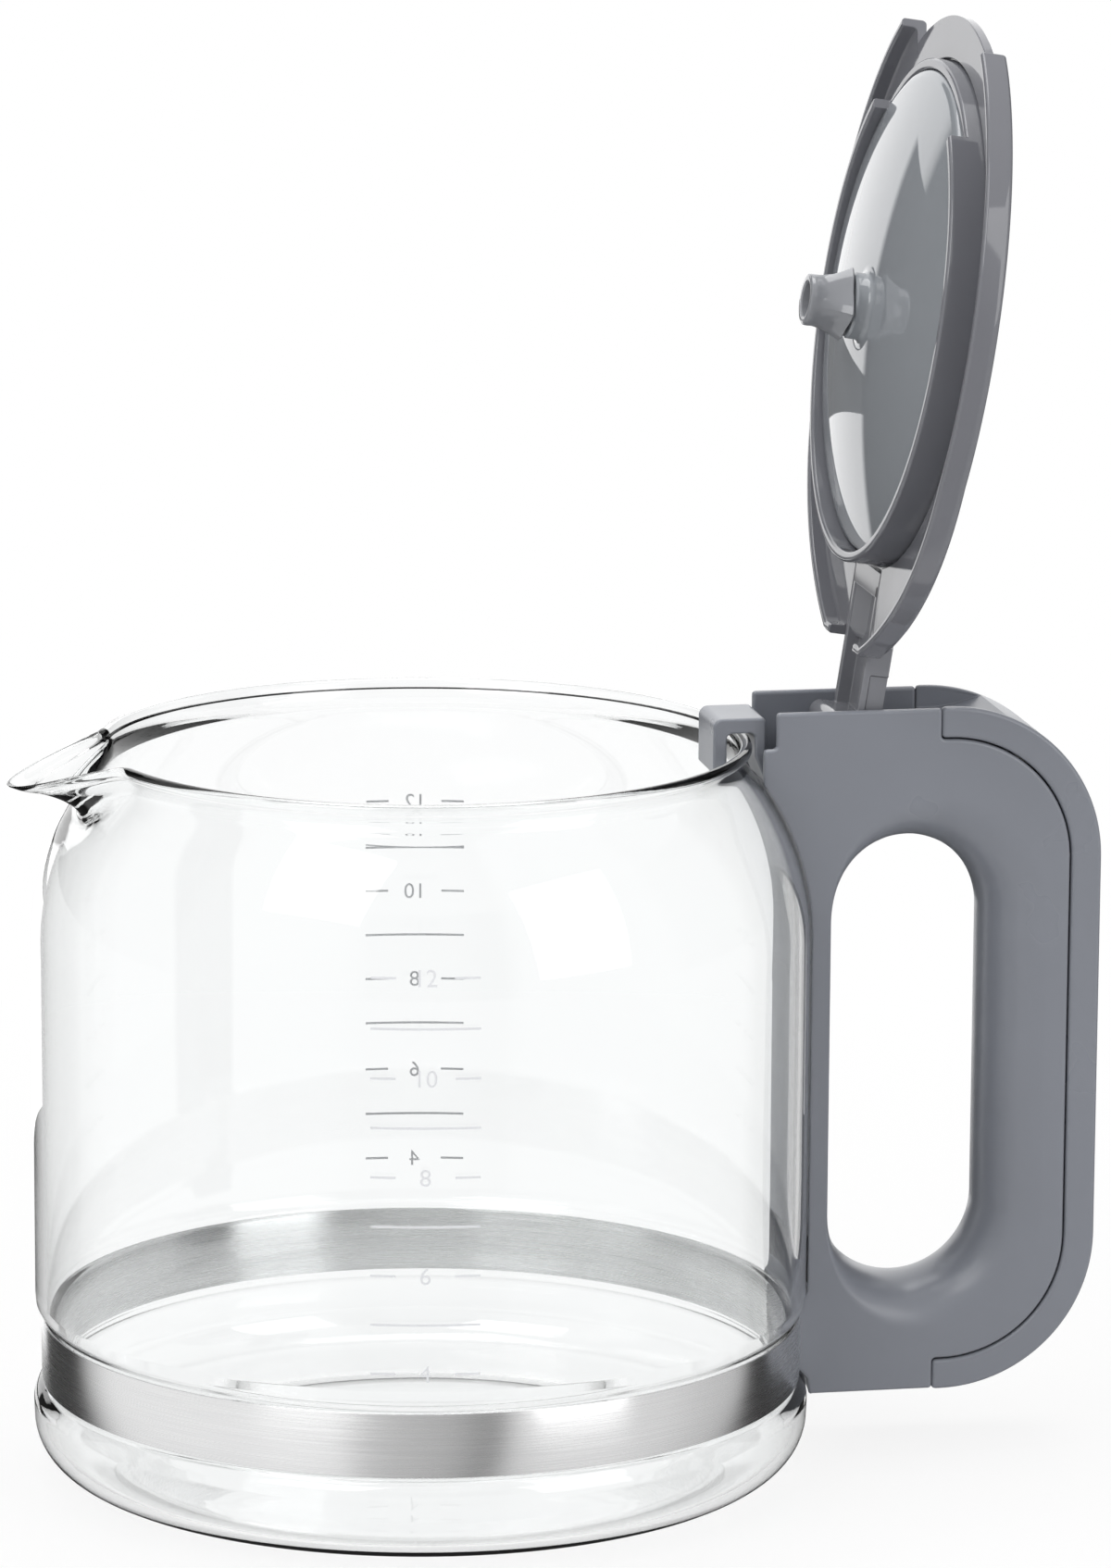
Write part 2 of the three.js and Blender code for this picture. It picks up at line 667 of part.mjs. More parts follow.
function lidRing() {
  const inner = ringRadius - ringWall;
  const edge = coverTop - ringDepth;
  const flange = ringRadius + ringFlange;
  const ring = solid(turned([
    [inner, edge],
    [ringRadius, edge],
    [ringRadius, coverTop - ringFlangeThickness],
    [flange, coverTop - ringFlangeThickness],
    [flange, coverTop],
    [inner, coverTop],
    [inner, edge],
  ], ringSides));
  const far = 2 * ringRadius;
  const notchFloor = coverTop - 2 * ringFlangeThickness;
  const armRoom = armHalfWidth + seat;
  return ring
    .subtract(block(-far, -ringStep, -far, far, edge - 1, coverTop - ringSpoutDepth))
    .subtract(block(armEndX - seat, far, -armRoom, armRoom, notchFloor, coverTop + 1));
}

// Dish inside the ring, a shallow dome from below, with a collar for the nozzle.
function dripFunnel() {
  const outer = ringRadius - ringWall - seat;
  const rim = coverTop - funnelRimDepth;
  const low = coverTop - funnelDepth;
  const collarEnd = low - collarLength;
  const spigotRoom = dripBore + nozzleWall + seat;
  const dome = (drop, wall) => Array.from({ length: 8 }, (_, i) => {
    const share = i / 7;
    const radius = outer - wall - share * (outer - wall - collarRadius);
    return [radius, rim - drop * Math.sin((share * Math.PI) / 2)];
  });
  const below = dome(rim - low, 0);
  const above = dome(rim - low, funnelWall).map(([radius, z]) => [radius, z + funnelWall]);
  const profile = [
    [outer, coverTop],
    ...below,
    [collarRadius, collarEnd],
    [spigotRoom, collarEnd],
    [spigotRoom, low + funnelWall],
    ...above.reverse(),
    [outer - funnelWall, coverTop],
    [outer, coverTop],
  ];
  return solid(turned(profile, ringSides));
}

// Nozzle with four flutes that run out towards its round tip.
function dripNozzle() {
  const top = coverTop - funnelDepth - collarLength - seat;
  const tip = top - nozzleLength;
  const spigot = dripBore + nozzleWall;
  const flank = Array.from({ length: 5 }, (_, i) => {
    const share = i / 4;
    return [nozzleTipRadius + share ** 2 * (nozzleLobe - nozzleTipRadius), tip + share * nozzleLength];
  });
  const profile = [
    [dripBore, tip],
    ...flank,
    [spigot, top],
    [spigot, top + nozzleSpigot],
    [dripBore, top + nozzleSpigot],
    [dripBore, tip],
  ];
  const geometry = turned(profile, 2 * smallSides);
  const place = geometry.attributes.position;
  for (let i = 0; i < place.count; i += 1) {
    const [x, y, z] = [place.getX(i), place.getY(i), place.getZ(i)];
    const radius = Math.hypot(x, y);
    const flute = 0.5 - 0.5 * Math.cos(4 * Math.atan2(y, x));
    const share = (z - tip) / nozzleLength;
    const cut = radius > spigot + 1e-3 ? flute * share ** 2 * (nozzleLobe - nozzleWaist) : 0;
    const scale = (radius - cut) / radius;
    place.setXY(i, x * scale, y * scale);
  }
  return solid(geometry);
}

// Channel from the ring to the hinge, the hub under it, and the lever behind.
function lidArm() {
  const inside = armHalfWidth - armFlange;
  const leverEnd = hingeX + leverLength;
  const webUnder = armTop - armWeb;
  const channel = block(armEndX, hingeX, -armHalfWidth, armHalfWidth, armEdge, armTop)
    .subtract(block(armEndX - 1, hingeX - hubRadius, -inside, inside, armEdge - 1, webUnder));
  const pad = block(armEndX, coverTailX + armPadPast, -inside, inside, webUnder - armPad, webUnder);
  const hub = rodAlongY(hubRadius, -armHalfWidth, armHalfWidth, hingeX, hingeZ);
  const lever = block(hingeX - 1, leverEnd, -armHalfWidth, armHalfWidth, leverEdge, armTop);
  const webBack = hingeX + hubRadius / 2;
  const web = block(hingeX - hubRadius, webBack, -armHalfWidth, armHalfWidth, hingeZ, leverEdge + 1);
  const bore = rodAlongY(pinRadius + pinPlay, -2 * armHalfWidth, 2 * armHalfWidth, hingeX, hingeZ);
  return channel.add(pad).add(hub).add(lever).add(web).subtract(bore);
}

const carafe = new THREE.Group();
carafe.add(
  piece('glass_jug', glassJug(), 'glass'),
  piece('steel_band', steelBand(), 'steel'),
  piece('band_clamp', bandClamp(), 'steel'),
  piece('band_screw', bandScrew(), 'steel'),
  piece('handle_body', handleBody(), 'plastic'),
  piece('grip_cover', gripCover(), 'plastic'),
  piece('rim_hook', rimHook(), 'plastic'),
  piece('cushion_strip', cushionStrip(), 'rubber'),
  piece('hinge_pin', hingePin(), 'steel'),
);

// The lid's pieces are placed as they lie closed, then swung open about the hinge.
const lid = new THREE.Group();
const closedLid = new THREE.Group();
closedLid.add(
  piece('lid_cover', lidCover(), 'plastic'),
  piece('lid_ring', lidRing(), 'plastic'),
  piece('drip_funnel', dripFunnel(), 'gloss'),
  piece('drip_nozzle', dripNozzle(), 'plastic'),
  piece('lid_arm', lidArm(), 'plastic'),
);
closedLid.position.set(-hingeX, 0, -hingeZ);
lid.position.set(hingeX, 0, hingeZ);
lid.rotation.y = openAngle;
lid.add(closedLid);
carafe.add(lid);

export default carafe;
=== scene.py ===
# Coffee carafe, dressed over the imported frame: a glass jug in a brushed steel band, a moulded grey handle
# with a separate grip cover, and a hinged drip-through lid that stands open.
# Sizes are in millimetres until a mesh is made. The lid's pieces are shaped as they lie closed.
import math

import bmesh
import bpy
from mathutils import Matrix, Vector

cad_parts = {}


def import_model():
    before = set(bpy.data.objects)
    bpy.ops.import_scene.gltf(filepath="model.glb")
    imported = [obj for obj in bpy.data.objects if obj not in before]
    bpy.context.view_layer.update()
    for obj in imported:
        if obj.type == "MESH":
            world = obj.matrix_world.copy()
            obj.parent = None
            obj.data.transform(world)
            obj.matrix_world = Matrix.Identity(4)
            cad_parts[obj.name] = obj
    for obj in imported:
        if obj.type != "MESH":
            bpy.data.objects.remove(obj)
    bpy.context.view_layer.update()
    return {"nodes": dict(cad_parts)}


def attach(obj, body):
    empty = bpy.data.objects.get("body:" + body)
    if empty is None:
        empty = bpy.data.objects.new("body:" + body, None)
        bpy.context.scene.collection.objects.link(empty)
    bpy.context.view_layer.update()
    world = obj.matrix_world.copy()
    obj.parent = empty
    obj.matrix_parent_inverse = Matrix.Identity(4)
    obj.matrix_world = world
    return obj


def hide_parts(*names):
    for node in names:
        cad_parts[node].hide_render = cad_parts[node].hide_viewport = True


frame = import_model()
MM = 0.001

# Cutting tools reach past the faces that they cut.
PAST = 1.0
TOOL_FRONT = 50.0
LID_BELOW = 140.0
LID_ABOVE = 160.0
LID_BEYOND = 80.0
ARM_SLOT_FRONT = 45.0
ARM_SLOT_BACK = 70.0
CHANNEL_FRONT = 40.0

# Glass jug
JUG_RADIUS = 75.1
JUG_HEIGHT = 144.6
JUG_SIDES = 200
GLASS_WALL = 2.0
SHOULDER_HEIGHT = 105.0
RIM_RADIUS = 62.3
RIM_BEAD = 1.2
NECK_RADIUS = 61.5
NECK_HEIGHT = 140.4
BEAD_HEIGHT = JUG_HEIGHT - RIM_BEAD
BEAD_START = -105
BEAD_END = 190
SHOULDER_INSET = JUG_RADIUS - NECK_RADIUS
SHOULDER_LIFT = NECK_HEIGHT - SHOULDER_HEIGHT
SHOULDER_RADIUS = (SHOULDER_INSET**2 + SHOULDER_LIFT**2) / (2 * SHOULDER_INSET)
SHOULDER_END = math.degrees(math.asin(SHOULDER_LIFT / SHOULDER_RADIUS)) - 2
NECK_OUTSIDE = ((61.7, 140.2), (61.35, 141.5))
NECK_INSIDE = ((60.0, 141.6), (59.8, 139.4))
HEEL_RADIUS = 9.8
HEEL_X = 65.6
HEEL_Z = 11.6
HEEL_START = -72
HEEL_STEPS = 12
BAND_GROOVE = [
    (75.5, 14.6), (75.2, 16.6), (74.2, 17.9), (73.3, 18.6), (73.15, 19.2),
    (73.15, 31.5), (73.4, 32.3), (74.3, 33.1), (74.95, 34.2), (JUG_RADIUS, 36.0),
]
JUG_FOOT = [
    (0.0, 0.35), (48.0, 0.35), (51.5, 0.3), (54.0, 0.15),
    (56.0, 0.0), (58.0, 0.0), (61.0, 0.3), (64.5, 1.1),
]
JUG_FLOOR = [(64.0, 3.2), (60.0, 2.7), (54.0, 2.6), (48.0, 2.6), (0.0, 2.6)]
SPOUT_REACH = 15.2
SPOUT_DROP = 6.0
SPOUT_HALF_ANGLE = math.radians(18.5)
SPOUT_DEPTH = 16.4
SPOUT_THROAT = 3.0
SPOUT_CROWDING = 0.45

# Steel band
BAND_RADIUS = 74.0
BAND_THICKNESS = 0.5
BAND_BOTTOM = 19.2
BAND_TOP = 31.55
BAND_MIDDLE = (BAND_BOTTOM + BAND_TOP) / 2
BAND_ROUND = 0.12
EAR_HALF_SPREAD = 7.9
EAR_END = 84.1
EAR_LIP = 3.6
EAR_GAP = 0.3

# Handle
HALF_WIDTH = 12.25
SLOT_HALF_WIDTH = 10.45
HANDLE_TOP = 149.7
HANDLE_BOTTOM = 13.5
HANDLE_FRONT = 64.7
HANDLE_GAP = 0.4
HANDLE_ROUND = 0.7
CHEEK_FRONT = 67.2
CHEEK_LEDGE = 142.6
RIM_CLEAR_RADIUS = 63.9
RIM_CLEAR_HEIGHT = 142.2
POCKET_BACK = 72.8
POCKET_FLOOR = 134.5
SCREW_START = 84.0
SCREW_END = 130.0
SCREW_HALF_BORE = 4.3
GRIP_X = 131.9
CORNER = 30.4
CORNER_X = GRIP_X - CORNER
TOP_CORNER_Z = HANDLE_TOP - CORNER
LOW_CORNER_Z = HANDLE_BOTTOM + CORNER
GRIP_END_X = CORNER_X - 1.7
GRIP_GAP = 0.03
GRIP_PROUD = 0.2
GRIP_INNER = 24.6
GRIP_ROUND = 0.8
PARTING = 24.3
SCOOP_RADIUS = 30.0
SCOOP_LIFT = 31.6
SCOOP_ROUND = 0.35
FINGER_RADIUS = 15.5
FINGER_X = 94.7
FINGER_LOW = 49.7
FINGER_HIGH = 107.7
FINGER_FILLET = 11.4
STRUT_FILLET = 1.2

# Rim hook
HOOK_FRONT = 55.7
HOOK_TOP = 148.0
HOOK_HALF_WIDTH = 7.4
HOOK_LIP = 137.0
HOOK_INSIDE = 58.4
HOOK_ROOF = 145.0
HOOK_BACK = 66.1
HOOK_TAIL_X = 66.3
HOOK_TAIL_END = 72.5
HOOK_TAIL_LOW = 134.8
HOOK_TAIL_HIGH = 138.2
HOOK_CORNER = 1.0
HOOK_NOSE = 1.8
HOOK_ROUND = 0.55

# Hinge and lid
HINGE = Vector((80.5, 0.0, 145.8))
HUB_RADIUS = 2.2
HUB_GAP = 0.4
LEVER_STOP = 1.73
LID_ROUND = 0.22
OPEN_ANGLE = math.radians(98.8)
SKIRT_EDGE = 145.0
COVER_TOP = 150.0
PLATE_UNDER = 148.2
SKIRT_WALL = 1.8
COVER_HALF_LENGTH = 63.8
COVER_HALF_WIDTH = 60.3
COVER_TAIL_X = 65.2
COVER_TAIL_Y = 15.0
COVER_TAPER_X = 25.2
COVER_BEND = (50.8, 49.1)
TONGUE_RADIUS = 57.7
TONGUE_ROOT = 50.6
SPOUT_OPENING = 31.0
SEAT_RADIUS = 52.8
SEAT_UNDER = 148.7
FLANGE_RADIUS = 52.5
FLANGE_UNDER = 149.0
NOTCH_FRONT = 51.7
NOTCH_FLOOR = 148.0
RING_RADIUS = 49.0
RING_INNER = 46.9
RING_EDGE = 141.6
RING_SPOUT_EDGE = 145.0
RING_STEP = 37.5
FUNNEL_RADIUS = 46.75
FUNNEL_WALL = 1.8
FUNNEL_RIM = 147.2
FUNNEL_CORNER = 145.0
FUNNEL_LOW = 138.6
FUNNEL_RISE = 6.2
FUNNEL_SIDE_LIFT = 1.9
COLLAR_RADIUS = 6.4
COLLAR_END = 135.7
COLLAR_BORE = 4.6
DRIP_BORE = 3.4
SPIGOT_WALL = 0.9
SPIGOT_LENGTH = 2.4
NOZZLE_TOP = 135.4
NOZZLE_TIP = 127.1
NOZZLE_TIP_RADIUS = 5.0
NOZZLE_LOBE = 7.4
NOZZLE_WAIST = 5.5
RIB_TURN = math.radians(8)
ARM_HALF_WIDTH = 10.0
ARM_SLOT_HALF_WIDTH = 10.3
ARM_INSIDE = 8.2
ARM_EDGE = 148.2
ARM_TOP = 153.2
ARM_UNDER = ARM_TOP - 2.2
ARM_END_X = 52.0
ARM_ROUND = 0.3
WEB_BACK = 1.65
WEB_TOP = 151.2
PANEL_START = 69.4
PANEL_END = 79.5
PANEL_EDGE = 1.4
PANEL_DEPTH = 0.35
LEVER_END_X = 95.0
LEVER_EDGE = 150.2
BRIDGE_FRONT = 49.5
BRIDGE_BACK = 54.4
WEDGE_INNER = 4.2
WEDGE_STATIONS = [(54.2, 0.0), (56.0, 0.0), (63.0, 0.0), (65.0, 1.6)]
PAD_ROUND = 0.2

# Printed cup marks
CUP_STEP = 9.38
FIRST_CUP = 4
LAST_CUP = 12
MARK_HALF_LENGTH = 10.2
DASH_LENGTH = 4.7
LINE_WIDTH = 0.45
NUMBER_HEIGHT = 3.3
NUMBER_DROP = 1.6
CAPITAL_SHARE = 0.72
PRINT_LIFT = 0.06
FRONT_SCALE_TURN = -98.9
FRONT_SCALE_FIRST = 39.6
BACK_SCALE_TURN = 81.6
BACK_SCALE_FIRST = 42.2

# Room: heights are the rise of a direction, from -1 straight down to 1 straight up.
SWEEP_FOOT = -0.25
SWEEP_LEVEL = 1.55
GAP_TOP = -0.1035
GAP_FOOT = -0.153
GAP_TILT = 0.073
GAP_DEPTH = 0.9
STRIP_FOOT = 0.078
STRIP_TOP = 0.2
OVERHEAD_FOOT = 0.55
OVERHEAD_LEVEL = 0.9
FILL_LEVEL = 0.45
FLOOR_HALF_SIZE = 3000
FLOOR_WHITE = (0.85, 0.85, 0.85, 1)
SHADOW_NEAR = 0.1
SHADOW_FAR = 0.4
SHADOW_WHITE = 0.85


# Shaping

def make(name, points, faces):
    """A mesh object from points in millimetres, with its faces turned outwards."""
    mesh = bpy.data.meshes.new(name)
    mesh.from_pydata([Vector(point) * MM for point in points], [], faces)
    work = bmesh.new()
    work.from_mesh(mesh)
    bmesh.ops.remove_doubles(work, verts=work.verts, dist=1e-7)
    bmesh.ops.recalc_face_normals(work, faces=work.faces)
    work.to_mesh(mesh)
    work.free()
    obj = bpy.data.objects.new(name, mesh)
    bpy.context.scene.collection.objects.link(obj)
    return obj


def turned(name, profile, sides, closed=True, shift=None):
    """A profile of (radius, height) turned about Z, with each point moved by shift."""
    count = len(profile)
    points = []
    faces = []
    for i in range(sides):
        angle = 2 * math.pi * i / sides
        for radius, height in profile:
            point = Vector((radius * math.cos(angle), radius * math.sin(angle), height))
            points.append(shift(point) if shift else point)
    for i in range(sides):
        j = (i + 1) % sides
        for k in range(count if closed else count - 1):
            m = (k + 1) % count
            faces.append((i * count + k, j * count + k, j * count + m, i * count + m))
    return make(name, points, faces)


def loft(name, sections, closed=True):
    """Skin over sections of equal point counts. Open lofts get flat ends."""
    count = len(sections[0])
    points = [point for section in sections for point in section]
    faces = []
    total = len(sections)
    for i in range(total if closed else total - 1):
        j = (i + 1) % total
        for k in range(count):
            m = (k + 1) % count
            faces.append((i * count + k, j * count + k, j * count + m, i * count + m))
    if not closed:
        faces.append(tuple(range(count)))
        faces.append(tuple(range((total - 1) * count, total * count)))
    return make(name, points, faces)


def slab(name, outline, low, high):
    """An outline in X and Z, given thickness along Y."""
    return loft(name, [[(x, y, z) for x, z in outline] for y in (low, high)], closed=False)


def plate(name, outline, low, high):
    """An outline in X and Y, given height along Z."""
    return loft(name, [[(x, y, z) for x, y in outline] for z in (low, high)], closed=False)


def block(name, x0, x1, y0, y1, z0, z1):
    return slab(name, [(x0, z0), (x1, z0), (x1, z1), (x0, z1)], y0, y1)


def rod(name, radius, x, z, y0, y1, sides=48):
    return slab(name, arc(x, z, radius, 0, 360, sides)[:-1], y0, y1)


def arc(centre_x, centre_z, radius, start, end, steps):
    """Points on an arc, its angles in degrees."""
    points = []
    for i in range(steps + 1):
        angle = math.radians(start + (end - start) * i / steps)
        points.append((centre_x + radius * math.cos(angle), centre_z + radius * math.sin(angle)))
    return points


def settle(obj):
    """Makes an object's modifiers part of its mesh."""
    graph = bpy.context.evaluated_depsgraph_get()
    mesh = bpy.data.meshes.new_from_object(obj.evaluated_get(graph))
    old = obj.data
    obj.modifiers.clear()
    obj.data = mesh
    bpy.data.meshes.remove(old)
    return obj


def combine(body, tools, operation):
    for tool in tools:
        step = body.modifiers.new("combine", "BOOLEAN")
        step.operation = operation
        step.solver = "EXACT"
        step.object = tool
        settle(body)
        mesh = tool.data
        bpy.data.objects.remove(tool)
        bpy.data.meshes.remove(mesh)
    return body


def cut(body, *tools):
    return combine(body, tools, "DIFFERENCE")


def join(body, *tools):
    return combine(body, tools, "UNION")


def tidy(obj, merge, flat_faces):
    """Removes slivers, and joins flat faces that lie in one plane where they have no holes."""
    work = bmesh.new()
    work.from_mesh(obj.data)
    bmesh.ops.remove_doubles(work, verts=work.verts, dist=merge * MM)
    bmesh.ops.dissolve_degenerate(work, edges=work.edges, dist=merge * MM)
    if flat_faces:
        flat = math.radians(0.3)
        bmesh.ops.dissolve_limit(work, angle_limit=flat, verts=work.verts, edges=work.edges)
    work.to_mesh(obj.data)
    work.free()
    return obj


def soften(obj, width, steps=3, sharper_than=38, flat_faces=True):
    """Rounds the sharp edges, as a moulding has them."""
    tidy(obj, 0.02, flat_faces)
    step = obj.modifiers.new("soften", "BEVEL")
    step.width = width * MM
    step.segments = steps
    step.limit_method = "ANGLE"
    step.angle_limit = math.radians(sharper_than)
    step.use_clamp_overlap = False
    step.miter_outer = "MITER_ARC"
    return settle(obj)


def finish(obj, material, slot, body, *nodes, crease=32, flat_shading=False):
    """Gives a piece its material and shading, and sets it on its body. The lid's pieces are swung open."""
    if body == "lid":
        hinge = Matrix.Translation(HINGE * MM)
        obj.data.transform(hinge @ Matrix.Rotation(OPEN_ANGLE, 4, "Y") @ hinge.inverted())
    obj.data.materials.clear()
    obj.data.materials.append(material)
    obj.data.shade_smooth()
    obj.data.set_sharp_from_angle(angle=math.radians(crease))
    if flat_shading:
        step = obj.modifiers.new("flat_shading", "WEIGHTED_NORMAL")
        step.keep_sharp = True
        settle(obj)
    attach(obj, body)
    if nodes:
        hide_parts(*nodes)
    return obj


# Materials

def new_material(name):
    material = bpy.data.materials.new(name)
    material.use_nodes = True
    tree = material.node_tree
    return material, tree, tree.nodes["Principled BSDF"]


def add(tree, kind, **settings):
    node = tree.nodes.new(kind)
    for key, setting in settings.items():
        if key in node.inputs:
            node.inputs[key].default_value = setting
        else:
            setattr(node, key, setting)
    return node


def object_noise(tree, scale, detail=2.0, stretch=(1, 1, 1)):
    """Noise in the object's own space, in cycles a metre."""
    place = add(tree, "ShaderNodeTexCoord")
    mapping = add(tree, "ShaderNodeMapping")
    mapping.inputs["Scale"].default_value = stretch
    noise = add(tree, "ShaderNodeTexNoise", Scale=scale, Detail=detail)
    tree.links.new(place.outputs["Object"], mapping.inputs["Vector"])
    tree.links.new(mapping.outputs["Vector"], noise.inputs["Vector"])
    return noise.outputs["Fac"]


def ramp(tree, source, low, high, start=0.3, end=0.7):
    """Spreads a value between two colours."""
    node = add(tree, "ShaderNodeValToRGB")
    node.color_ramp.elements[0].position = start
    node.color_ramp.elements[0].color = (*low, 1)
    node.color_ramp.elements[1].position = end
    node.color_ramp.elements[1].color = (*high, 1)
    tree.links.new(source, node.inputs["Fac"])
    return node.outputs["Color"]


def plastic(name, colour, roughness, spread, grain, grain_depth):
    """Moulded plastic: slightly uneven colour and gloss, and a fine spark-eroded grain."""
    material, tree, shader = new_material(name)
    cloud = object_noise(tree, 45.0, 3.0)
    low = tuple(channel * 0.98 for channel in colour)
    high = tuple(channel * 1.02 for channel in colour)
    tree.links.new(ramp(tree, cloud, low, high), shader.inputs["Base Color"])
    dull = (roughness + spread,) * 3
    bright = (roughness - spread,) * 3
    tree.links.new(ramp(tree, cloud, dull, bright), shader.inputs["Roughness"])
    bump = add(tree, "ShaderNodeBump", Strength=grain_depth, Distance=0.00005)
    tree.links.new(object_noise(tree, grain, 1.0), bump.inputs["Height"])
    tree.links.new(bump.outputs["Normal"], shader.inputs["Normal"])
    shader.inputs["IOR"].default_value = 1.5
    return material


def clear_glass():
    material, tree, shader = new_material("jug_glass")
    shader.inputs["Base Color"].default_value = (0.985, 0.992, 0.992, 1)
    shader.inputs["Roughness"].default_value = 0.0
    shader.inputs["IOR"].default_value = 1.47
    shader.inputs["Transmission Weight"].default_value = 1.0
    bump = add(tree, "ShaderNodeBump", Strength=0.04, Distance=0.001)
    tree.links.new(object_noise(tree, 30.0, 1.0), bump.inputs["Height"])
    tree.links.new(bump.outputs["Normal"], shader.inputs["Normal"])
    return material


def brushed_steel(name, along_band):
    """Steel with fine scratches, drawn out round the band."""
    material, tree, shader = new_material(name)
    shader.inputs["Metallic"].default_value = 1.0
    if along_band:
        shader.inputs["Anisotropic"].default_value = 0.95
        shader.inputs["Anisotropic Rotation"].default_value = 0.25
        tangent = add(tree, "ShaderNodeTangent", direction_type="RADIAL", axis="Z")
        tree.links.new(tangent.outputs["Tangent"], shader.inputs["Tangent"])
    stretch = (0.01, 0.01, 1.0) if along_band else (1, 1, 1)
    scratch = object_noise(tree, 5200.0, 4.0, stretch)
    tree.links.new(ramp(tree, scratch, (0.74, 0.74, 0.745), (0.82, 0.82, 0.82)), shader.inputs["Base Color"])
    tree.links.new(ramp(tree, scratch, (0.24,) * 3, (0.3,) * 3), shader.inputs["Roughness"])
    bump = add(tree, "ShaderNodeBump", Strength=0.12, Distance=0.00002)
    tree.links.new(scratch, bump.inputs["Height"])
    tree.links.new(bump.outputs["Normal"], shader.inputs["Normal"])
    return material


GLASS = clear_glass()
STEEL = brushed_steel("band_steel", True)
PIN_STEEL = brushed_steel("pin_steel", False)
HANDLE_GREY = plastic("handle_grey", (0.211, 0.222, 0.252), 0.3, 0.03, 1500.0, 0.08)
LID_GREY = plastic("lid_grey", (0.165, 0.168, 0.186), 0.06, 0.02, 1500.0, 0.01)
DOME_GREY = plastic("dome_grey", (0.262, 0.278, 0.298), 0.02, 0.01, 900.0, 0.003)
NOZZLE_GREY = plastic("nozzle_grey", (0.27, 0.277, 0.296), 0.07, 0.02, 1500.0, 0.01)
ARM_GREY = plastic("arm_grey", (0.2, 0.204, 0.222), 0.08, 0.02, 1500.0, 0.01)
RUBBER = plastic("dark_rubber", (0.03, 0.03, 0.032), 0.75, 0.05, 1800.0, 0.3)
INK = plastic("scale_print", (0.73, 0.74, 0.76), 0.4, 0.05, 3000.0, 0.1)


# Glass jug

def jug_outside(gap=0.0):
    """Outside of the jug above its foot, moved out by a gap: heel, groove for the band, wall and shoulder."""
    return [
        *arc(HEEL_X, HEEL_Z, HEEL_RADIUS + gap, HEEL_START, 0, HEEL_STEPS),
        *((radius + gap, height) for radius, height in BAND_GROOVE),
        *arc(JUG_RADIUS - SHOULDER_RADIUS, SHOULDER_HEIGHT, SHOULDER_RADIUS + gap, 0, SHOULDER_END, 20),
    ]


def pull_spout(point):
    """Pulls the rim out into the spout at -X, finest sides towards the spout."""
    radius = math.hypot(point.x, point.y)
    angle = math.atan2(point.y, -point.x)
    turn = angle - SPOUT_CROWDING * math.sin(angle)
    pull = 0.5 + 0.5 * math.cos(math.pi * min(1.0, abs(turn) / SPOUT_HALF_ANGLE))
    rise = max(0.0, (point.z - BEAD_HEIGHT + SPOUT_DEPTH) / SPOUT_DEPTH)
    throat = SPOUT_THROAT * math.sin(math.pi * min(1.0, rise)) ** 2
    reach = radius + pull * (SPOUT_REACH * rise**2 - throat)
    height = point.z - pull * SPOUT_DROP * rise
    return Vector((-reach * math.cos(turn), reach * math.sin(turn), height))


def bend(*corners):
    """A smooth curve in the profile between its first and last points, given two control points."""
    steps = 8
    points = []
    for i in range(1, steps):
        t = i / steps
        weights = ((1 - t) ** 3, 3 * t * (1 - t) ** 2, 3 * t * t * (1 - t), t**3)
        points.append(tuple(sum(w * c[k] for w, c in zip(weights, corners)) for k in range(2)))
    return points


def glass_jug():
    outside = jug_outside()
    inside = jug_outside(-GLASS_WALL)
    bead = arc(RIM_RADIUS, BEAD_HEIGHT, RIM_BEAD, BEAD_START, BEAD_END, 18)
    outer_neck = bend(outside[-1], *NECK_OUTSIDE, bead[0])
    inner_neck = bend(bead[-1], *NECK_INSIDE, inside[-1])
    profile = [*JUG_FOOT, *outside, *outer_neck, *bead, *inner_neck, *reversed(inside), *JUG_FLOOR]
    jug = turned("glass_body", profile, JUG_SIDES, closed=False, shift=pull_spout)
    return finish(jug, GLASS, "glass", "jug", "glass_jug", crease=60)


def steel_band():
    inner = BAND_RADIUS - BAND_THICKNESS
    inside_y = EAR_HALF_SPREAD - BAND_THICKNESS
    outer_turn = math.degrees(math.asin(EAR_HALF_SPREAD / BAND_RADIUS))
    inner_turn = math.degrees(math.asin(inside_y / inner))
    lip = EAR_END - BAND_THICKNESS
    outline = [
        *arc(0, 0, BAND_RADIUS, outer_turn, 360 - outer_turn, 180),
        (EAR_END, -EAR_HALF_SPREAD), (EAR_END, -EAR_LIP), (lip, -EAR_LIP), (lip, -inside_y),
        *arc(0, 0, inner, 360 - inner_turn, inner_turn, 180),
        (lip, inside_y), (lip, EAR_LIP), (EAR_END, EAR_LIP), (EAR_END, EAR_HALF_SPREAD),
    ]
    band = soften(plate("band_strap", outline, BAND_BOTTOM, BAND_TOP), BAND_ROUND, 2)
    return finish(band, STEEL, "steel", "jug", "steel_band")


# Handle

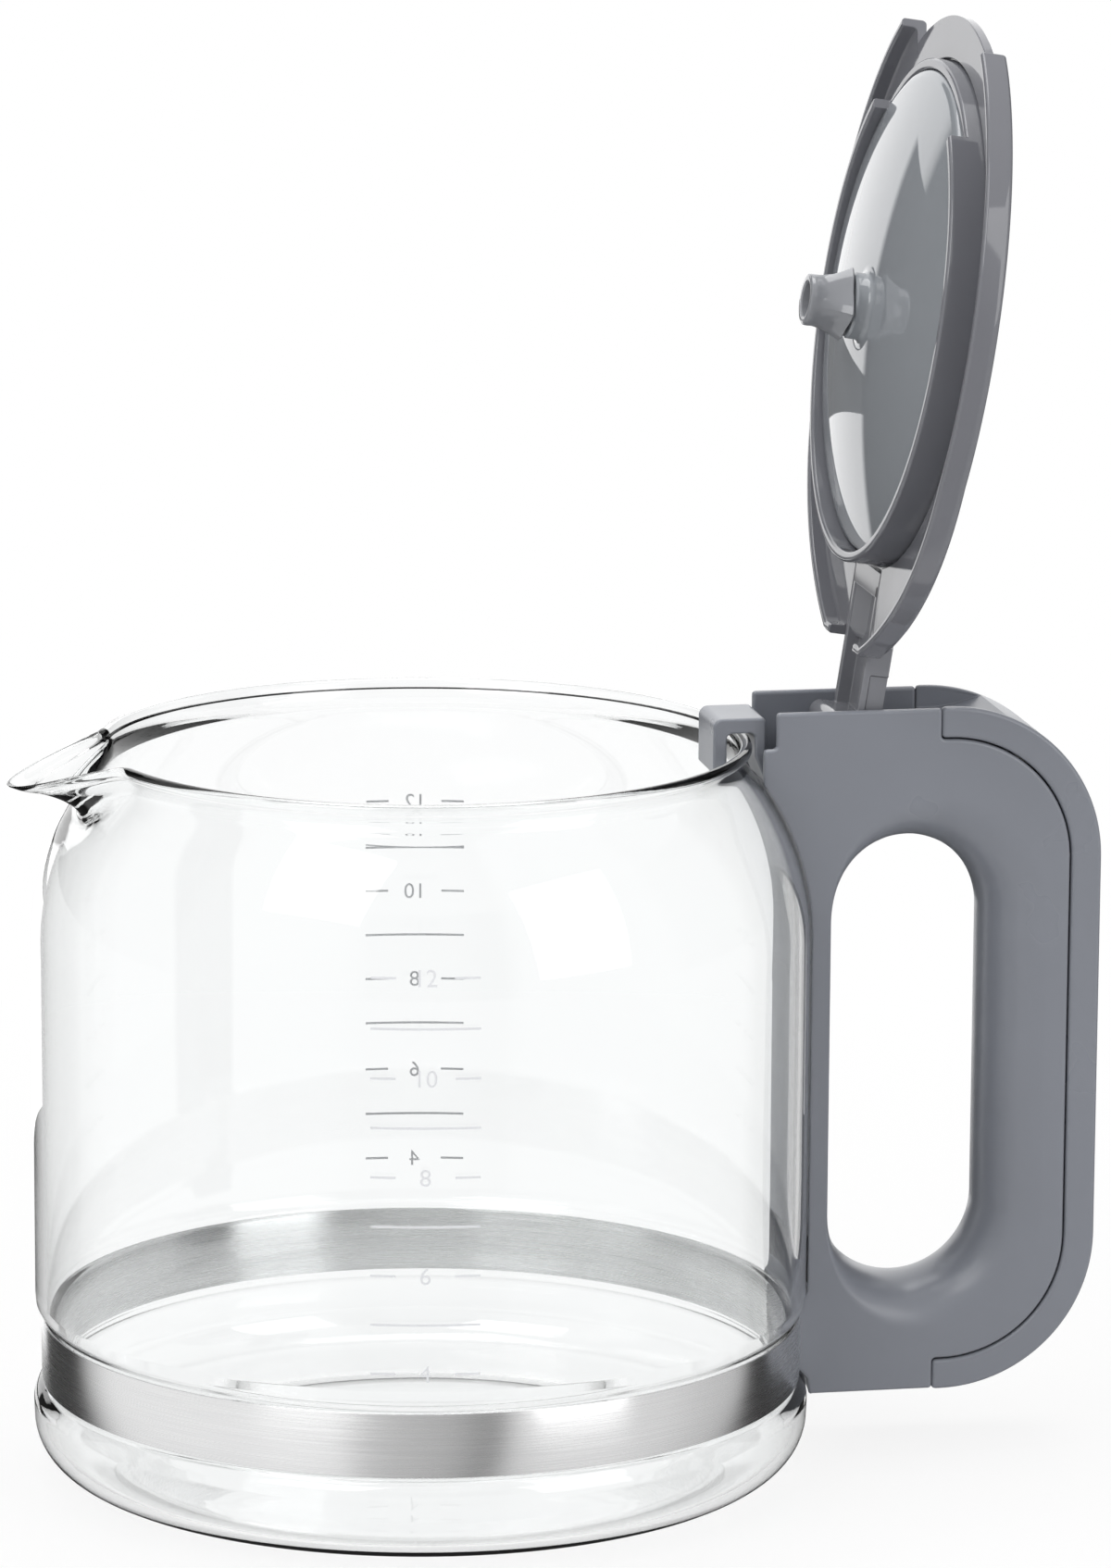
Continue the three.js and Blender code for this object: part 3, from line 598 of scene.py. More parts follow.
def finger_opening():
    """Long round-ended hole, its edges well rounded except on the side of the glass."""
    flat = HALF_WIDTH - FINGER_FILLET
    steps = 10
    levels = [0.0]
    for i in range(steps + 1):
        levels.append(flat + FINGER_FILLET * math.sin(math.radians(90 * i / steps)))
    levels.append(HALF_WIDTH + PAST)
    levels = [-level for level in reversed(levels[1:])] + levels
    sides = 120
    sections = []
    for y in levels:
        run = min(max(0.0, abs(y) - flat), FINGER_FILLET)
        flare = FINGER_FILLET - math.sqrt(FINGER_FILLET**2 - run**2)
        section = []
        for i in range(sides):
            angle = 2 * math.pi * (i + 0.5) / sides
            lean = (0.5 - 0.5 * math.cos(angle)) ** 2
            share = 1 - (1 - STRUT_FILLET / FINGER_FILLET) * lean
            radius = FINGER_RADIUS + flare * share
            middle = FINGER_HIGH if math.sin(angle) > 0 else FINGER_LOW
            section.append((FINGER_X + radius * math.cos(angle), y, middle + radius * math.sin(angle)))
        sections.append(section)
    return loft("finger_tool", sections, closed=False)


def jug_envelope():
    """Room for the jug in front of the handle."""
    below = -5 * PAST
    above = HANDLE_TOP + 5 * PAST
    wall = jug_outside(HANDLE_GAP)[HEEL_STEPS // 2:]
    heel = 70
    neck = [(RIM_CLEAR_RADIUS, RIM_CLEAR_HEIGHT), (RIM_CLEAR_RADIUS, above)]
    profile = [(0, below), (heel, below), *wall, *neck, (0, above)]
    return turned("envelope_tool", profile, 240, closed=False)


def hinge_slot():
    """Slot between the cheeks, with the pit that the lever swings down into."""
    floor = TOP_CORNER_Z + PARTING
    above = HANDLE_TOP + 2 * PAST
    sweep = math.hypot(LEVER_END_X - HINGE.x, ARM_TOP - HINGE.z) + HUB_GAP
    front = -math.degrees(math.acos(LEVER_STOP / sweep))
    rear = -math.degrees(math.asin((HINGE.z - floor) / sweep))
    hub_floor = HINGE.z - HUB_RADIUS - HUB_GAP
    outline = [
        (TOOL_FRONT, above), (TOOL_FRONT, hub_floor), (HINGE.x + LEVER_STOP, hub_floor),
        *arc(HINGE.x, HINGE.z, sweep, front, rear, 24),
        (GRIP_END_X + PAST, floor), (GRIP_END_X + PAST, above),
    ]
    return slab("slot_tool", outline, -SLOT_HALF_WIDTH, SLOT_HALF_WIDTH)


def handle_body():
    outline = [
        (HANDLE_FRONT, HANDLE_BOTTOM), (GRIP_END_X, HANDLE_BOTTOM), (GRIP_END_X, LOW_CORNER_Z - PARTING),
        *arc(CORNER_X, LOW_CORNER_Z, PARTING, -90, 0, 40),
        *arc(CORNER_X, TOP_CORNER_Z, PARTING, 0, 90, 40),
        (GRIP_END_X, TOP_CORNER_Z + PARTING), (GRIP_END_X, HANDLE_TOP),
        (CHEEK_FRONT, HANDLE_TOP), (CHEEK_FRONT, CHEEK_LEDGE), (HANDLE_FRONT, CHEEK_LEDGE),
    ]
    body = slab("handle_shell", outline, -HALF_WIDTH, HALF_WIDTH)
    above = HANDLE_TOP + 2 * PAST
    ear_y = EAR_HALF_SPREAD + EAR_GAP
    ear_low = BAND_BOTTOM - EAR_GAP
    ear_high = BAND_TOP + EAR_GAP
    bore_low = BAND_MIDDLE - SCREW_HALF_BORE
    bore_high = BAND_MIDDLE + SCREW_HALF_BORE
    cut(
        body,
        jug_envelope(),
        hinge_slot(),
        block("pocket_tool", TOOL_FRONT, POCKET_BACK, -SLOT_HALF_WIDTH, SLOT_HALF_WIDTH, POCKET_FLOOR, above),
        block("ear_tool", TOOL_FRONT, EAR_END + EAR_GAP, -ear_y, ear_y, ear_low, ear_high),
        block("screw_tool", SCREW_START, SCREW_END, -SCREW_HALF_BORE, SCREW_HALF_BORE, bore_low, bore_high),
    )
    soften(body, HANDLE_ROUND)
    cut(body, finger_opening())
    return finish(body, HANDLE_GREY, "grey_plastic", "jug", "handle_body", crease=30, flat_shading=True)


def grip_cover():
    end = GRIP_END_X + GRIP_GAP
    outline = [
        (end, HANDLE_BOTTOM - GRIP_PROUD),
        *arc(CORNER_X, LOW_CORNER_Z, CORNER + GRIP_PROUD, -90, 0, 48),
        *arc(CORNER_X, TOP_CORNER_Z, CORNER + GRIP_PROUD, 0, 90, 48),
        (end, HANDLE_TOP + GRIP_PROUD), (end, TOP_CORNER_Z + GRIP_INNER),
        *arc(CORNER_X, TOP_CORNER_Z, GRIP_INNER, 90, 0, 40),
        *arc(CORNER_X, LOW_CORNER_Z, GRIP_INNER, 0, -90, 40),
        (end, LOW_CORNER_Z - GRIP_INNER),
    ]
    cover = slab("grip_shell", outline, -HALF_WIDTH, HALF_WIDTH)
    scoop_z = TOP_CORNER_Z + GRIP_INNER + SCOOP_LIFT
    scoop = rod("scoop_tool", SCOOP_RADIUS, CORNER_X, scoop_z, -SLOT_HALF_WIDTH, SLOT_HALF_WIDTH, 160)
    soften(cover, GRIP_ROUND)
    cut(cover, scoop)
    soften(cover, SCOOP_ROUND, 2, sharper_than=65)
    return finish(cover, HANDLE_GREY, "grey_plastic", "jug", "grip_cover", crease=30, flat_shading=True)


def rim_hook():
    """Clip over the rim, its outer edges well rounded."""
    roof = HOOK_ROOF - HOOK_CORNER
    outline = [
        (HOOK_FRONT, HOOK_LIP), (HOOK_INSIDE, HOOK_LIP),
        *arc(HOOK_INSIDE + HOOK_CORNER, roof, HOOK_CORNER, 180, 90, 4),
        *arc(RIM_CLEAR_RADIUS - HOOK_CORNER, roof, HOOK_CORNER, 90, 0, 4),
        (RIM_CLEAR_RADIUS, NECK_HEIGHT), (HOOK_TAIL_X, HOOK_TAIL_LOW), (HOOK_TAIL_END, HOOK_TAIL_LOW),
        (HOOK_TAIL_END, HOOK_TAIL_HIGH), (HOOK_BACK, HOOK_TAIL_HIGH),
        *arc(HOOK_BACK - HOOK_CORNER, HOOK_TOP - HOOK_CORNER, HOOK_CORNER, 0, 90, 4),
        *arc(HOOK_FRONT + HOOK_NOSE, HOOK_TOP - HOOK_NOSE, HOOK_NOSE, 90, 180, 6),
    ]
    hook = soften(slab("hook_clip", outline, -HOOK_HALF_WIDTH, HOOK_HALF_WIDTH), HOOK_ROUND, 4)
    return finish(hook, HANDLE_GREY, "grey_plastic", "jug", "rim_hook", flat_shading=True)


# Lid

def cover_edge():
    """Edge of the cover from above, from the hinge end round by the spout and back."""
    bend_x, bend_y = COVER_BEND
    angle = math.acos(COVER_TAPER_X / COVER_HALF_LENGTH)
    taper_y = COVER_HALF_WIDTH * math.sin(angle)
    tail_steps = 8
    taper_steps = 40
    round_steps = 90
    half = []
    for i in range(tail_steps):
        half.append((COVER_TAIL_X, COVER_TAIL_Y * i / tail_steps))
    for i in range(taper_steps):
        t = i / taper_steps
        x = (1 - t) ** 2 * COVER_TAIL_X + 2 * t * (1 - t) * bend_x + t * t * COVER_TAPER_X
        y = (1 - t) ** 2 * COVER_TAIL_Y + 2 * t * (1 - t) * bend_y + t * t * taper_y
        half.append((x, y))
    for i in range(round_steps):
        turn = angle + (math.pi - angle) * i / round_steps
        half.append((COVER_HALF_LENGTH * math.cos(turn), COVER_HALF_WIDTH * math.sin(turn)))
    mirrored = [(x, -y) for x, y in reversed(half[1:])]
    return half + [(-COVER_HALF_LENGTH, 0.0)] + mirrored


def cover_section(edge, i):
    """Section of the cover at one point of its edge: skirt, plate, collar and rounded top."""
    here = Vector(edge[i])
    before = Vector(edge[i - 1])
    after = Vector(edge[(i + 1) % len(edge)])
    along = (after - before).normalized()
    out = Vector((along.y, -along.x))
    radial = here.normalized()
    skirt = [
        (0.0, COVER_TOP - 1.4), (0.0, SKIRT_EDGE + 0.5), (0.15, SKIRT_EDGE + 0.15), (0.5, SKIRT_EDGE),
        (SKIRT_WALL - 0.5, SKIRT_EDGE), (SKIRT_WALL - 0.15, SKIRT_EDGE + 0.15),
        (SKIRT_WALL, SKIRT_EDGE + 0.5),
        (SKIRT_WALL, PLATE_UNDER - 1.0), (SKIRT_WALL + 0.15, PLATE_UNDER - 0.4),
        (SKIRT_WALL + 0.5, PLATE_UNDER - 0.1), (SKIRT_WALL + 1.1, PLATE_UNDER),
    ]
    inner = [
        (RING_RADIUS + 0.6, PLATE_UNDER), (RING_RADIUS + 0.4, PLATE_UNDER + 0.1),
        (RING_RADIUS + 0.35, SEAT_UNDER), (SEAT_RADIUS, SEAT_UNDER), (SEAT_RADIUS, COVER_TOP),
    ]
    top = [(0.9, COVER_TOP), (0.45, COVER_TOP - 0.1), (0.15, COVER_TOP - 0.4), (0.0, COVER_TOP - 0.8)]
    points = []
    for inset, height in skirt:
        points.append((*(here - out * inset), height))
    for radius, height in inner:
        points.append((*(radial * radius), height))
    for inset, height in top:
        points.append((*(here - out * inset), height))
    return points


def sector(name, inner, outer, half_angle, low, high):
    """Part of a ring about the axis, on the side of the spout."""
    outline = [
        *arc(0, 0, outer, 180 - half_angle, 180 + half_angle, 48),
        *arc(0, 0, inner, 180 + half_angle, 180 - half_angle, 48),
    ]
    return plate(name, outline, low, high)


def lid_cover():
    edge = cover_edge()
    cover = loft("cover_shell", [cover_section(edge, i) for i in range(len(edge))])
    arm_y = ARM_SLOT_HALF_WIDTH
    cut(
        cover,
        sector("tongue_tool", TONGUE_RADIUS, LID_BEYOND, SPOUT_OPENING, LID_BELOW, LID_ABOVE),
        sector("under_tool", TONGUE_ROOT, TONGUE_RADIUS + PAST, SPOUT_OPENING, LID_BELOW, PLATE_UNDER),
        block("arm_tool", ARM_SLOT_FRONT, ARM_SLOT_BACK, -arm_y, arm_y, LID_BELOW, LID_ABOVE),
    )
    soften(cover, LID_ROUND, flat_faces=False)
    return finish(cover, LID_GREY, "grey_plastic", "lid", "lid_cover", crease=35, flat_shading=True)


def ring_section(degrees, edge):
    """Section of the ring at one angle: its wall down to the free edge, and the flange at its top."""
    profile = [
        (RING_INNER, edge + 0.5), (RING_INNER + 0.15, edge + 0.15), (RING_INNER + 0.5, edge),
        (RING_RADIUS - 0.5, edge), (RING_RADIUS - 0.15, edge + 0.15), (RING_RADIUS, edge + 0.5),
        (RING_RADIUS, FLANGE_UNDER), (FLANGE_RADIUS - 0.3, FLANGE_UNDER), (FLANGE_RADIUS, FLANGE_UNDER + 0.3),
        (FLANGE_RADIUS, COVER_TOP - 0.3), (FLANGE_RADIUS - 0.3, COVER_TOP),
        (RING_INNER + 0.4, COVER_TOP), (RING_INNER, COVER_TOP - 0.4),
    ]
    turn = math.radians(degrees)
    return [(radius * math.cos(turn), radius * math.sin(turn), height) for radius, height in profile]


def lid_ring():
    """Ring with a lower wall on the side of the spout."""
    half = math.degrees(math.acos(RING_STEP / RING_RADIUS))
    deep_steps = 140
    low_steps = 40
    sections = []
    for i in range(deep_steps + 1):
        sections.append(ring_section(half - 180 + (360 - 2 * half) * i / deep_steps, RING_EDGE))
    for i in range(low_steps + 1):
        sections.append(ring_section(180 - half + 2 * half * i / low_steps, RING_SPOUT_EDGE))
    ring = loft("ring_wall", sections)
    arm_y = ARM_SLOT_HALF_WIDTH
    cut(ring, block("notch_tool", NOTCH_FRONT, LID_BEYOND, -arm_y, arm_y, NOTCH_FLOOR, LID_ABOVE))
    soften(ring, LID_ROUND, flat_faces=False)
    return finish(ring, LID_GREY, "grey_plastic", "lid", "lid_ring", crease=35, flat_shading=True)


def drip_funnel():
    """Shallow dome with a rounded shoulder inside the ring, and the nozzle's collar in its middle."""
    shoulder = FUNNEL_RADIUS - 0.5
    inside = FUNNEL_RADIUS - FUNNEL_WALL
    steps = 30
    below = []
    above = []
    for i in range(steps + 1):
        radius = shoulder - i / steps * (shoulder - COLLAR_RADIUS - 0.8)
        height = FUNNEL_LOW + FUNNEL_RISE * (radius / shoulder) ** 2
        below.append((radius, height))
        if radius < inside - 1.0:
            above.append((radius, height + FUNNEL_WALL))
    profile = [
        (FUNNEL_RADIUS, COVER_TOP - 0.3),
        (FUNNEL_RADIUS, FUNNEL_RIM),
        (FUNNEL_RADIUS - 0.02, FUNNEL_CORNER + 0.5),
        (FUNNEL_RADIUS - 0.1, FUNNEL_CORNER + 0.2),
        (FUNNEL_RADIUS - 0.25, FUNNEL_CORNER),
        *below,
        (COLLAR_RADIUS + 0.2, FUNNEL_LOW - 0.3),
        (COLLAR_RADIUS, FUNNEL_LOW - 0.9),
        (COLLAR_RADIUS, COLLAR_END + 0.4),
        (COLLAR_RADIUS - 0.4, COLLAR_END),
        (COLLAR_BORE, COLLAR_END),
        (COLLAR_BORE, FUNNEL_LOW + FUNNEL_WALL - 0.3),
        (COLLAR_BORE + 0.3, FUNNEL_LOW + FUNNEL_WALL),
        *reversed(above),
        (inside - 0.3, FUNNEL_RIM - 0.5),
        (inside, FUNNEL_RIM),
        (inside, COVER_TOP - 0.3),
        (inside + 0.3, COVER_TOP),
        (FUNNEL_RADIUS - 0.3, COVER_TOP),
    ]

    def barrel(point):
        """Bends the dish less across the lid than along it."""
        lift = FUNNEL_SIDE_LIFT * (point.y / FUNNEL_RADIUS) ** 2 if point.z < FUNNEL_RIM + 0.5 else 0.0
        return Vector((point.x, point.y, point.z - lift))

    funnel = turned("funnel_dish", profile, 180, shift=barrel)
    return finish(funnel, DOME_GREY, "gloss_plastic", "lid", "drip_funnel", crease=40)


def drip_nozzle():
    """Nozzle with four hollow flutes between crisp ribs, which run out towards its round tip."""
    length = NOZZLE_TOP - NOZZLE_TIP
    flare = NOZZLE_LOBE - NOZZLE_TIP_RADIUS
    spigot = DRIP_BORE + SPIGOT_WALL
    steps = 12
    flank = []
    for i in range(steps + 1):
        share = i / steps
        flank.append((NOZZLE_TIP_RADIUS + share**2 * flare, NOZZLE_TIP + 0.5 + share * (length - 0.8)))
    profile = [
        (DRIP_BORE, NOZZLE_TIP + 0.3),
        (DRIP_BORE + 0.3, NOZZLE_TIP),
        (NOZZLE_TIP_RADIUS - 0.4, NOZZLE_TIP),
        (NOZZLE_TIP_RADIUS - 0.1, NOZZLE_TIP + 0.15),
        *flank,
        (NOZZLE_LOBE - 0.3, NOZZLE_TOP),
        (spigot, NOZZLE_TOP),
        (spigot, NOZZLE_TOP + SPIGOT_LENGTH),
        (DRIP_BORE, NOZZLE_TOP + SPIGOT_LENGTH),
    ]

    def flute(point):
        """Hollows the flank between the ribs, deepest at the collar."""
        radius = math.hypot(point.x, point.y)
        share = min(1.0, max(0.0, (point.z - NOZZLE_TIP - 1.2) / (length - 1.2)))
        hollow = abs(math.sin(2 * (math.atan2(point.y, point.x) - RIB_TURN)))
        depth = share**0.8 * (NOZZLE_LOBE - NOZZLE_WAIST) if radius > spigot + 0.01 else 0.0
        scale = (radius - depth * hollow) / radius
        return Vector((point.x * scale, point.y * scale, point.z))

    nozzle = turned("nozzle_tip", profile, 180, shift=flute)
    return finish(nozzle, NOZZLE_GREY, "grey_plastic", "lid", "drip_nozzle", crease=40)


def lid_arm():
    """Channel from the ring to the hub, the web and lever behind it, and a sunk panel on either side."""
    left, right = -ARM_HALF_WIDTH, ARM_HALF_WIDTH
    hub_front = HINGE.x - HUB_RADIUS
    arm = block("arm_channel", ARM_END_X, HINGE.x, left, right, ARM_EDGE, ARM_TOP)
    cut(arm, block("channel_tool", CHANNEL_FRONT, hub_front, -ARM_INSIDE, ARM_INSIDE, LID_BELOW, ARM_UNDER))
    join(
        arm,
        rod("hub_tool", HUB_RADIUS, HINGE.x, HINGE.z, left, right, 64),
        block("lever_tool", HINGE.x - PAST, LEVER_END_X, left, right, LEVER_EDGE, ARM_TOP),
        block("web_tool", hub_front, HINGE.x + WEB_BACK, left, right, HINGE.z, WEB_TOP),
    )
    for side in (-1, 1):
        inner, outer = sorted((side * (ARM_HALF_WIDTH - PANEL_DEPTH), side * (ARM_HALF_WIDTH + PAST)))
        panel_low = ARM_EDGE + PANEL_EDGE
        cut(arm, block("panel_tool", PANEL_START, PANEL_END, inner, outer, panel_low, ARM_TOP + PAST))
    soften(arm, ARM_ROUND)
    return finish(arm, ARM_GREY, "grey_plastic", "lid", "lid_arm", crease=35, flat_shading=True)


def arm_pad():
    """Bridge that carries the plate on to the ring, and a wedge along the far wall of the channel."""
    left, right = -ARM_HALF_WIDTH, ARM_HALF_WIDTH
    bridge = block("pad_bridge", BRIDGE_FRONT, BRIDGE_BACK, left, right, PLATE_UNDER, ARM_UNDER + 0.5)
    foot = ARM_INSIDE + 0.2
    root = ARM_UNDER + 0.2
    sections = []
    for x, lean in WEDGE_STATIONS:
        sections.append([(x, foot, ARM_EDGE + 0.15 + lean), (x, foot, root), (x, WEDGE_INNER + lean, root)])
    wedge = loft("pad_wedge", sections, closed=False)
    for piece in (bridge, wedge):
        soften(piece, PAD_ROUND, 2)
        finish(piece, ARM_GREY, "grey_plastic", "lid", flat_shading=True)


# Printed cup marks

def wrap(x, z, centre):
    """A point of the flat print, x along and z up, laid on the jug's wall."""
    angle = centre + x / JUG_RADIUS
    rise = max(0.0, z - SHOULDER_HEIGHT)
    radius = JUG_RADIUS - SHOULDER_RADIUS + math.sqrt(SHOULDER_RADIUS**2 - rise**2) + PRINT_LIFT
    return (radius * math.cos(angle), radius * math.sin(angle), z)


def print_bar(points, faces, x0, x1, z, centre):
    """One printed line, in short steps round the jug."""
    steps = 10
    start = len(points)
    for i in range(steps + 1):
        x = x0 + (x1 - x0) * i / steps
        points.append(wrap(x, z - LINE_WIDTH / 2, centre))
        points.append(wrap(x, z + LINE_WIDTH / 2, centre))
    for i in range(steps):
        k = start + 2 * i
        faces.append((k, k + 2, k + 3, k + 1))


def print_number(points, faces, text, z, centre):
    """A number in plain strokes, taken from a simple built-in face and laid on the wall."""
    curve = bpy.data.curves.new("number", "FONT")
    curve.body = text
    curve.size = NUMBER_HEIGHT / CAPITAL_SHARE
    curve.align_x = "CENTER"
    curve.resolution_u = 6
    holder = bpy.data.objects.new("number", curve)
    bpy.context.scene.collection.objects.link(holder)
    graph = bpy.context.evaluated_depsgraph_get()
    flat = bpy.data.meshes.new_from_object(holder.evaluated_get(graph))
    start = len(points)
    for vertex in flat.vertices:
        points.append(wrap(vertex.co.x, z + vertex.co.y, centre))
    for face in flat.polygons:
        faces.append(tuple(start + index for index in face.vertices))
    bpy.data.objects.remove(holder)
    bpy.data.curves.remove(curve)
    bpy.data.meshes.remove(flat)


def cup_scale(name, centre_degrees, first):
    """Cup marks from 4 to 12: a number between two dashes, and a long line for each odd cup."""
    centre = math.radians(centre_degrees)
    points = []
    faces = []
    half = MARK_HALF_LENGTH
    for cups in range(FIRST_CUP, LAST_CUP + 1):
        z = first + (cups - FIRST_CUP) * CUP_STEP
        if cups % 2:
            print_bar(points, faces, -half, half, z, centre)
            continue
        print_bar(points, faces, -half, -half + DASH_LENGTH, z, centre)
        print_bar(points, faces, half - DASH_LENGTH, half, z, centre)
        print_number(points, faces, str(cups), z - NUMBER_DROP, centre)
    return finish(make(name, points, faces), INK, "grey_plastic", "jug")


glass_jug()
steel_band()
handle_body()
grip_cover()
rim_hook()
lid_cover()
lid_ring()
drip_funnel()
drip_nozzle()
lid_arm()
arm_pad()
cup_scale("cup_scale_front", FRONT_SCALE_TURN, FRONT_SCALE_FIRST)
cup_scale("cup_scale_back", BACK_SCALE_TURN, BACK_SCALE_FIRST)

for node, material in {
    "band_clamp": PIN_STEEL,
    "band_screw": PIN_STEEL,
    "hinge_pin": PIN_STEEL,
    "cushion_strip": RUBBER,
}.items():
    mesh = frame["nodes"][node].data
    mesh.materials.clear()
    mesh.materials.append(material)


# Floor, light and camera

def value(tree, operation, first, second):
    """A sum, product or other operation on two values, either of them a plain number."""
    node = add(tree, "ShaderNodeMath", operation=operation)
    for socket, source in zip(node.inputs, (first, second)):
        if isinstance(source, (int, float)):
            socket.default_value = source
        else:
            tree.links.new(source, socket)
    return node.outputs[0]


# Brightness of the room by compass direction from the object, 0 behind it and 90 to the right.
# Gloss sees a white sweep behind the object, with a dark gap between the sweep and the table, a bright
# strip a little wider than the sweep above it, and a dark flag on either side. In front are a soft box on
# each side and a gap where the photographer stands. Glass sees narrower and paler flags.
GLOSS_ROOM = [
    (-180.0, 0.5), (-172.0, 0.55), (-155.0, 0.62), (-150.0, 0.72), (-146.0, 0.88), (-140.0, 0.95),
    (-125.0, 1.0), (-64.0, 1.0), (-55.0, 0.7), (-46.0, 0.06), (73.0, 0.05), (80.0, 0.66), (96.0, 0.7),
    (112.0, 0.82), (159.0, 0.78), (163.0, 0.6), (166.0, 0.3), (171.0, 0.32), (177.0, 0.45), (180.0, 0.5),
]
SWEEP = [(-180.0, 0.0), (-18.0, 0.0), (-17.4, 1.0), (29.0, 1.0), (30.0, 0.0)]
STRIP = [(-180.0, 0.0), (-25.0, 0.0), (-23.5, 1.0), (30.0, 1.0), (31.0, 0.0)]
GLASS_ROOM = [
    (-180.0, 0.6), (-155.0, 0.65), (-150.0, 1.0), (-95.0, 1.0), (-88.0, 0.7), (-50.0, 0.8), (-36.0, 0.45),
    (-12.0, 0.45), (-9.0, 1.0), (27.0, 1.0), (30.0, 0.45), (52.0, 0.45), (68.0, 0.8), (104.0, 0.75),
    (110.0, 1.0), (158.0, 1.0), (164.0, 0.4), (172.0, 0.45), (180.0, 0.6),
]


def room(tree, direction, stops):
    """Brightness of the room in one direction."""
    split = add(tree, "ShaderNodeSeparateXYZ")
    tree.links.new(direction, split.inputs["Vector"])
    turn = value(tree, "ARCTAN2", split.outputs["X"], split.outputs["Y"])
    share = value(tree, "ADD", value(tree, "DIVIDE", turn, 2 * math.pi), 0.5)
    node = add(tree, "ShaderNodeValToRGB")
    elements = node.color_ramp.elements
    while len(elements) < len(stops):
        elements.new(0.5)
    for element, (degrees, level) in zip(elements, stops):
        element.position = degrees / 360 + 0.5
        element.color = (level, level, level, 1)
    tree.links.new(share, node.inputs["Fac"])
    return node.outputs["Color"]


def mirror_ray(tree, path):
    """One for rays from a shiny surface, nought for rays through glass."""
    return value(tree, "SUBTRACT", path.outputs["Is Glossy Ray"], path.outputs["Is Transmission Ray"])


def floor():
    """White to the camera and through glass, with the object's shadow. Gloss shows the room in its place."""
    half = FLOOR_HALF_SIZE
    points = [(-half, -half, 0), (half, -half, 0), (half, half, 0), (-half, half, 0)]
    ground = make("floor", points, [(0, 1, 2, 3)])
    material, tree, shader = new_material("floor_white")
    shader.inputs["Base Color"].default_value = FLOOR_WHITE
    shader.inputs["Roughness"].default_value = 0.9
    path = add(tree, "ShaderNodeLightPath")
    place = add(tree, "ShaderNodeTexCoord")
    away = add(tree, "ShaderNodeVectorMath", operation="LENGTH")
    tree.links.new(place.outputs["Object"], away.inputs[0])
    fade = add(tree, "ShaderNodeMapRange")
    fade.inputs["From Min"].default_value = SHADOW_NEAR
    fade.inputs["From Max"].default_value = SHADOW_FAR
    fade.inputs["To Min"].default_value = SHADOW_WHITE
    fade.inputs["To Max"].default_value = 1.0
    tree.links.new(away.outputs["Value"], fade.inputs["Value"])
    seen = value(tree, "MAXIMUM", path.outputs["Is Camera Ray"], path.outputs["Is Transmission Ray"])
    white = add(tree, "ShaderNodeEmission")
    lit = add(tree, "ShaderNodeMixShader")
    tree.links.new(value(tree, "MULTIPLY", seen, fade.outputs["Result"]), lit.inputs["Fac"])
    tree.links.new(shader.outputs["BSDF"], lit.inputs[1])
    tree.links.new(white.outputs["Emission"], lit.inputs[2])
    clear = add(tree, "ShaderNodeBsdfTransparent")
    whole = add(tree, "ShaderNodeMixShader")
    tree.links.new(mirror_ray(tree, path), whole.inputs["Fac"])
    tree.links.new(lit.outputs["Shader"], whole.inputs[1])
    tree.links.new(clear.outputs["BSDF"], whole.inputs[2])
    tree.links.new(whole.outputs["Shader"], tree.nodes["Material Output"].inputs["Surface"])
    ground.data.materials.append(material)


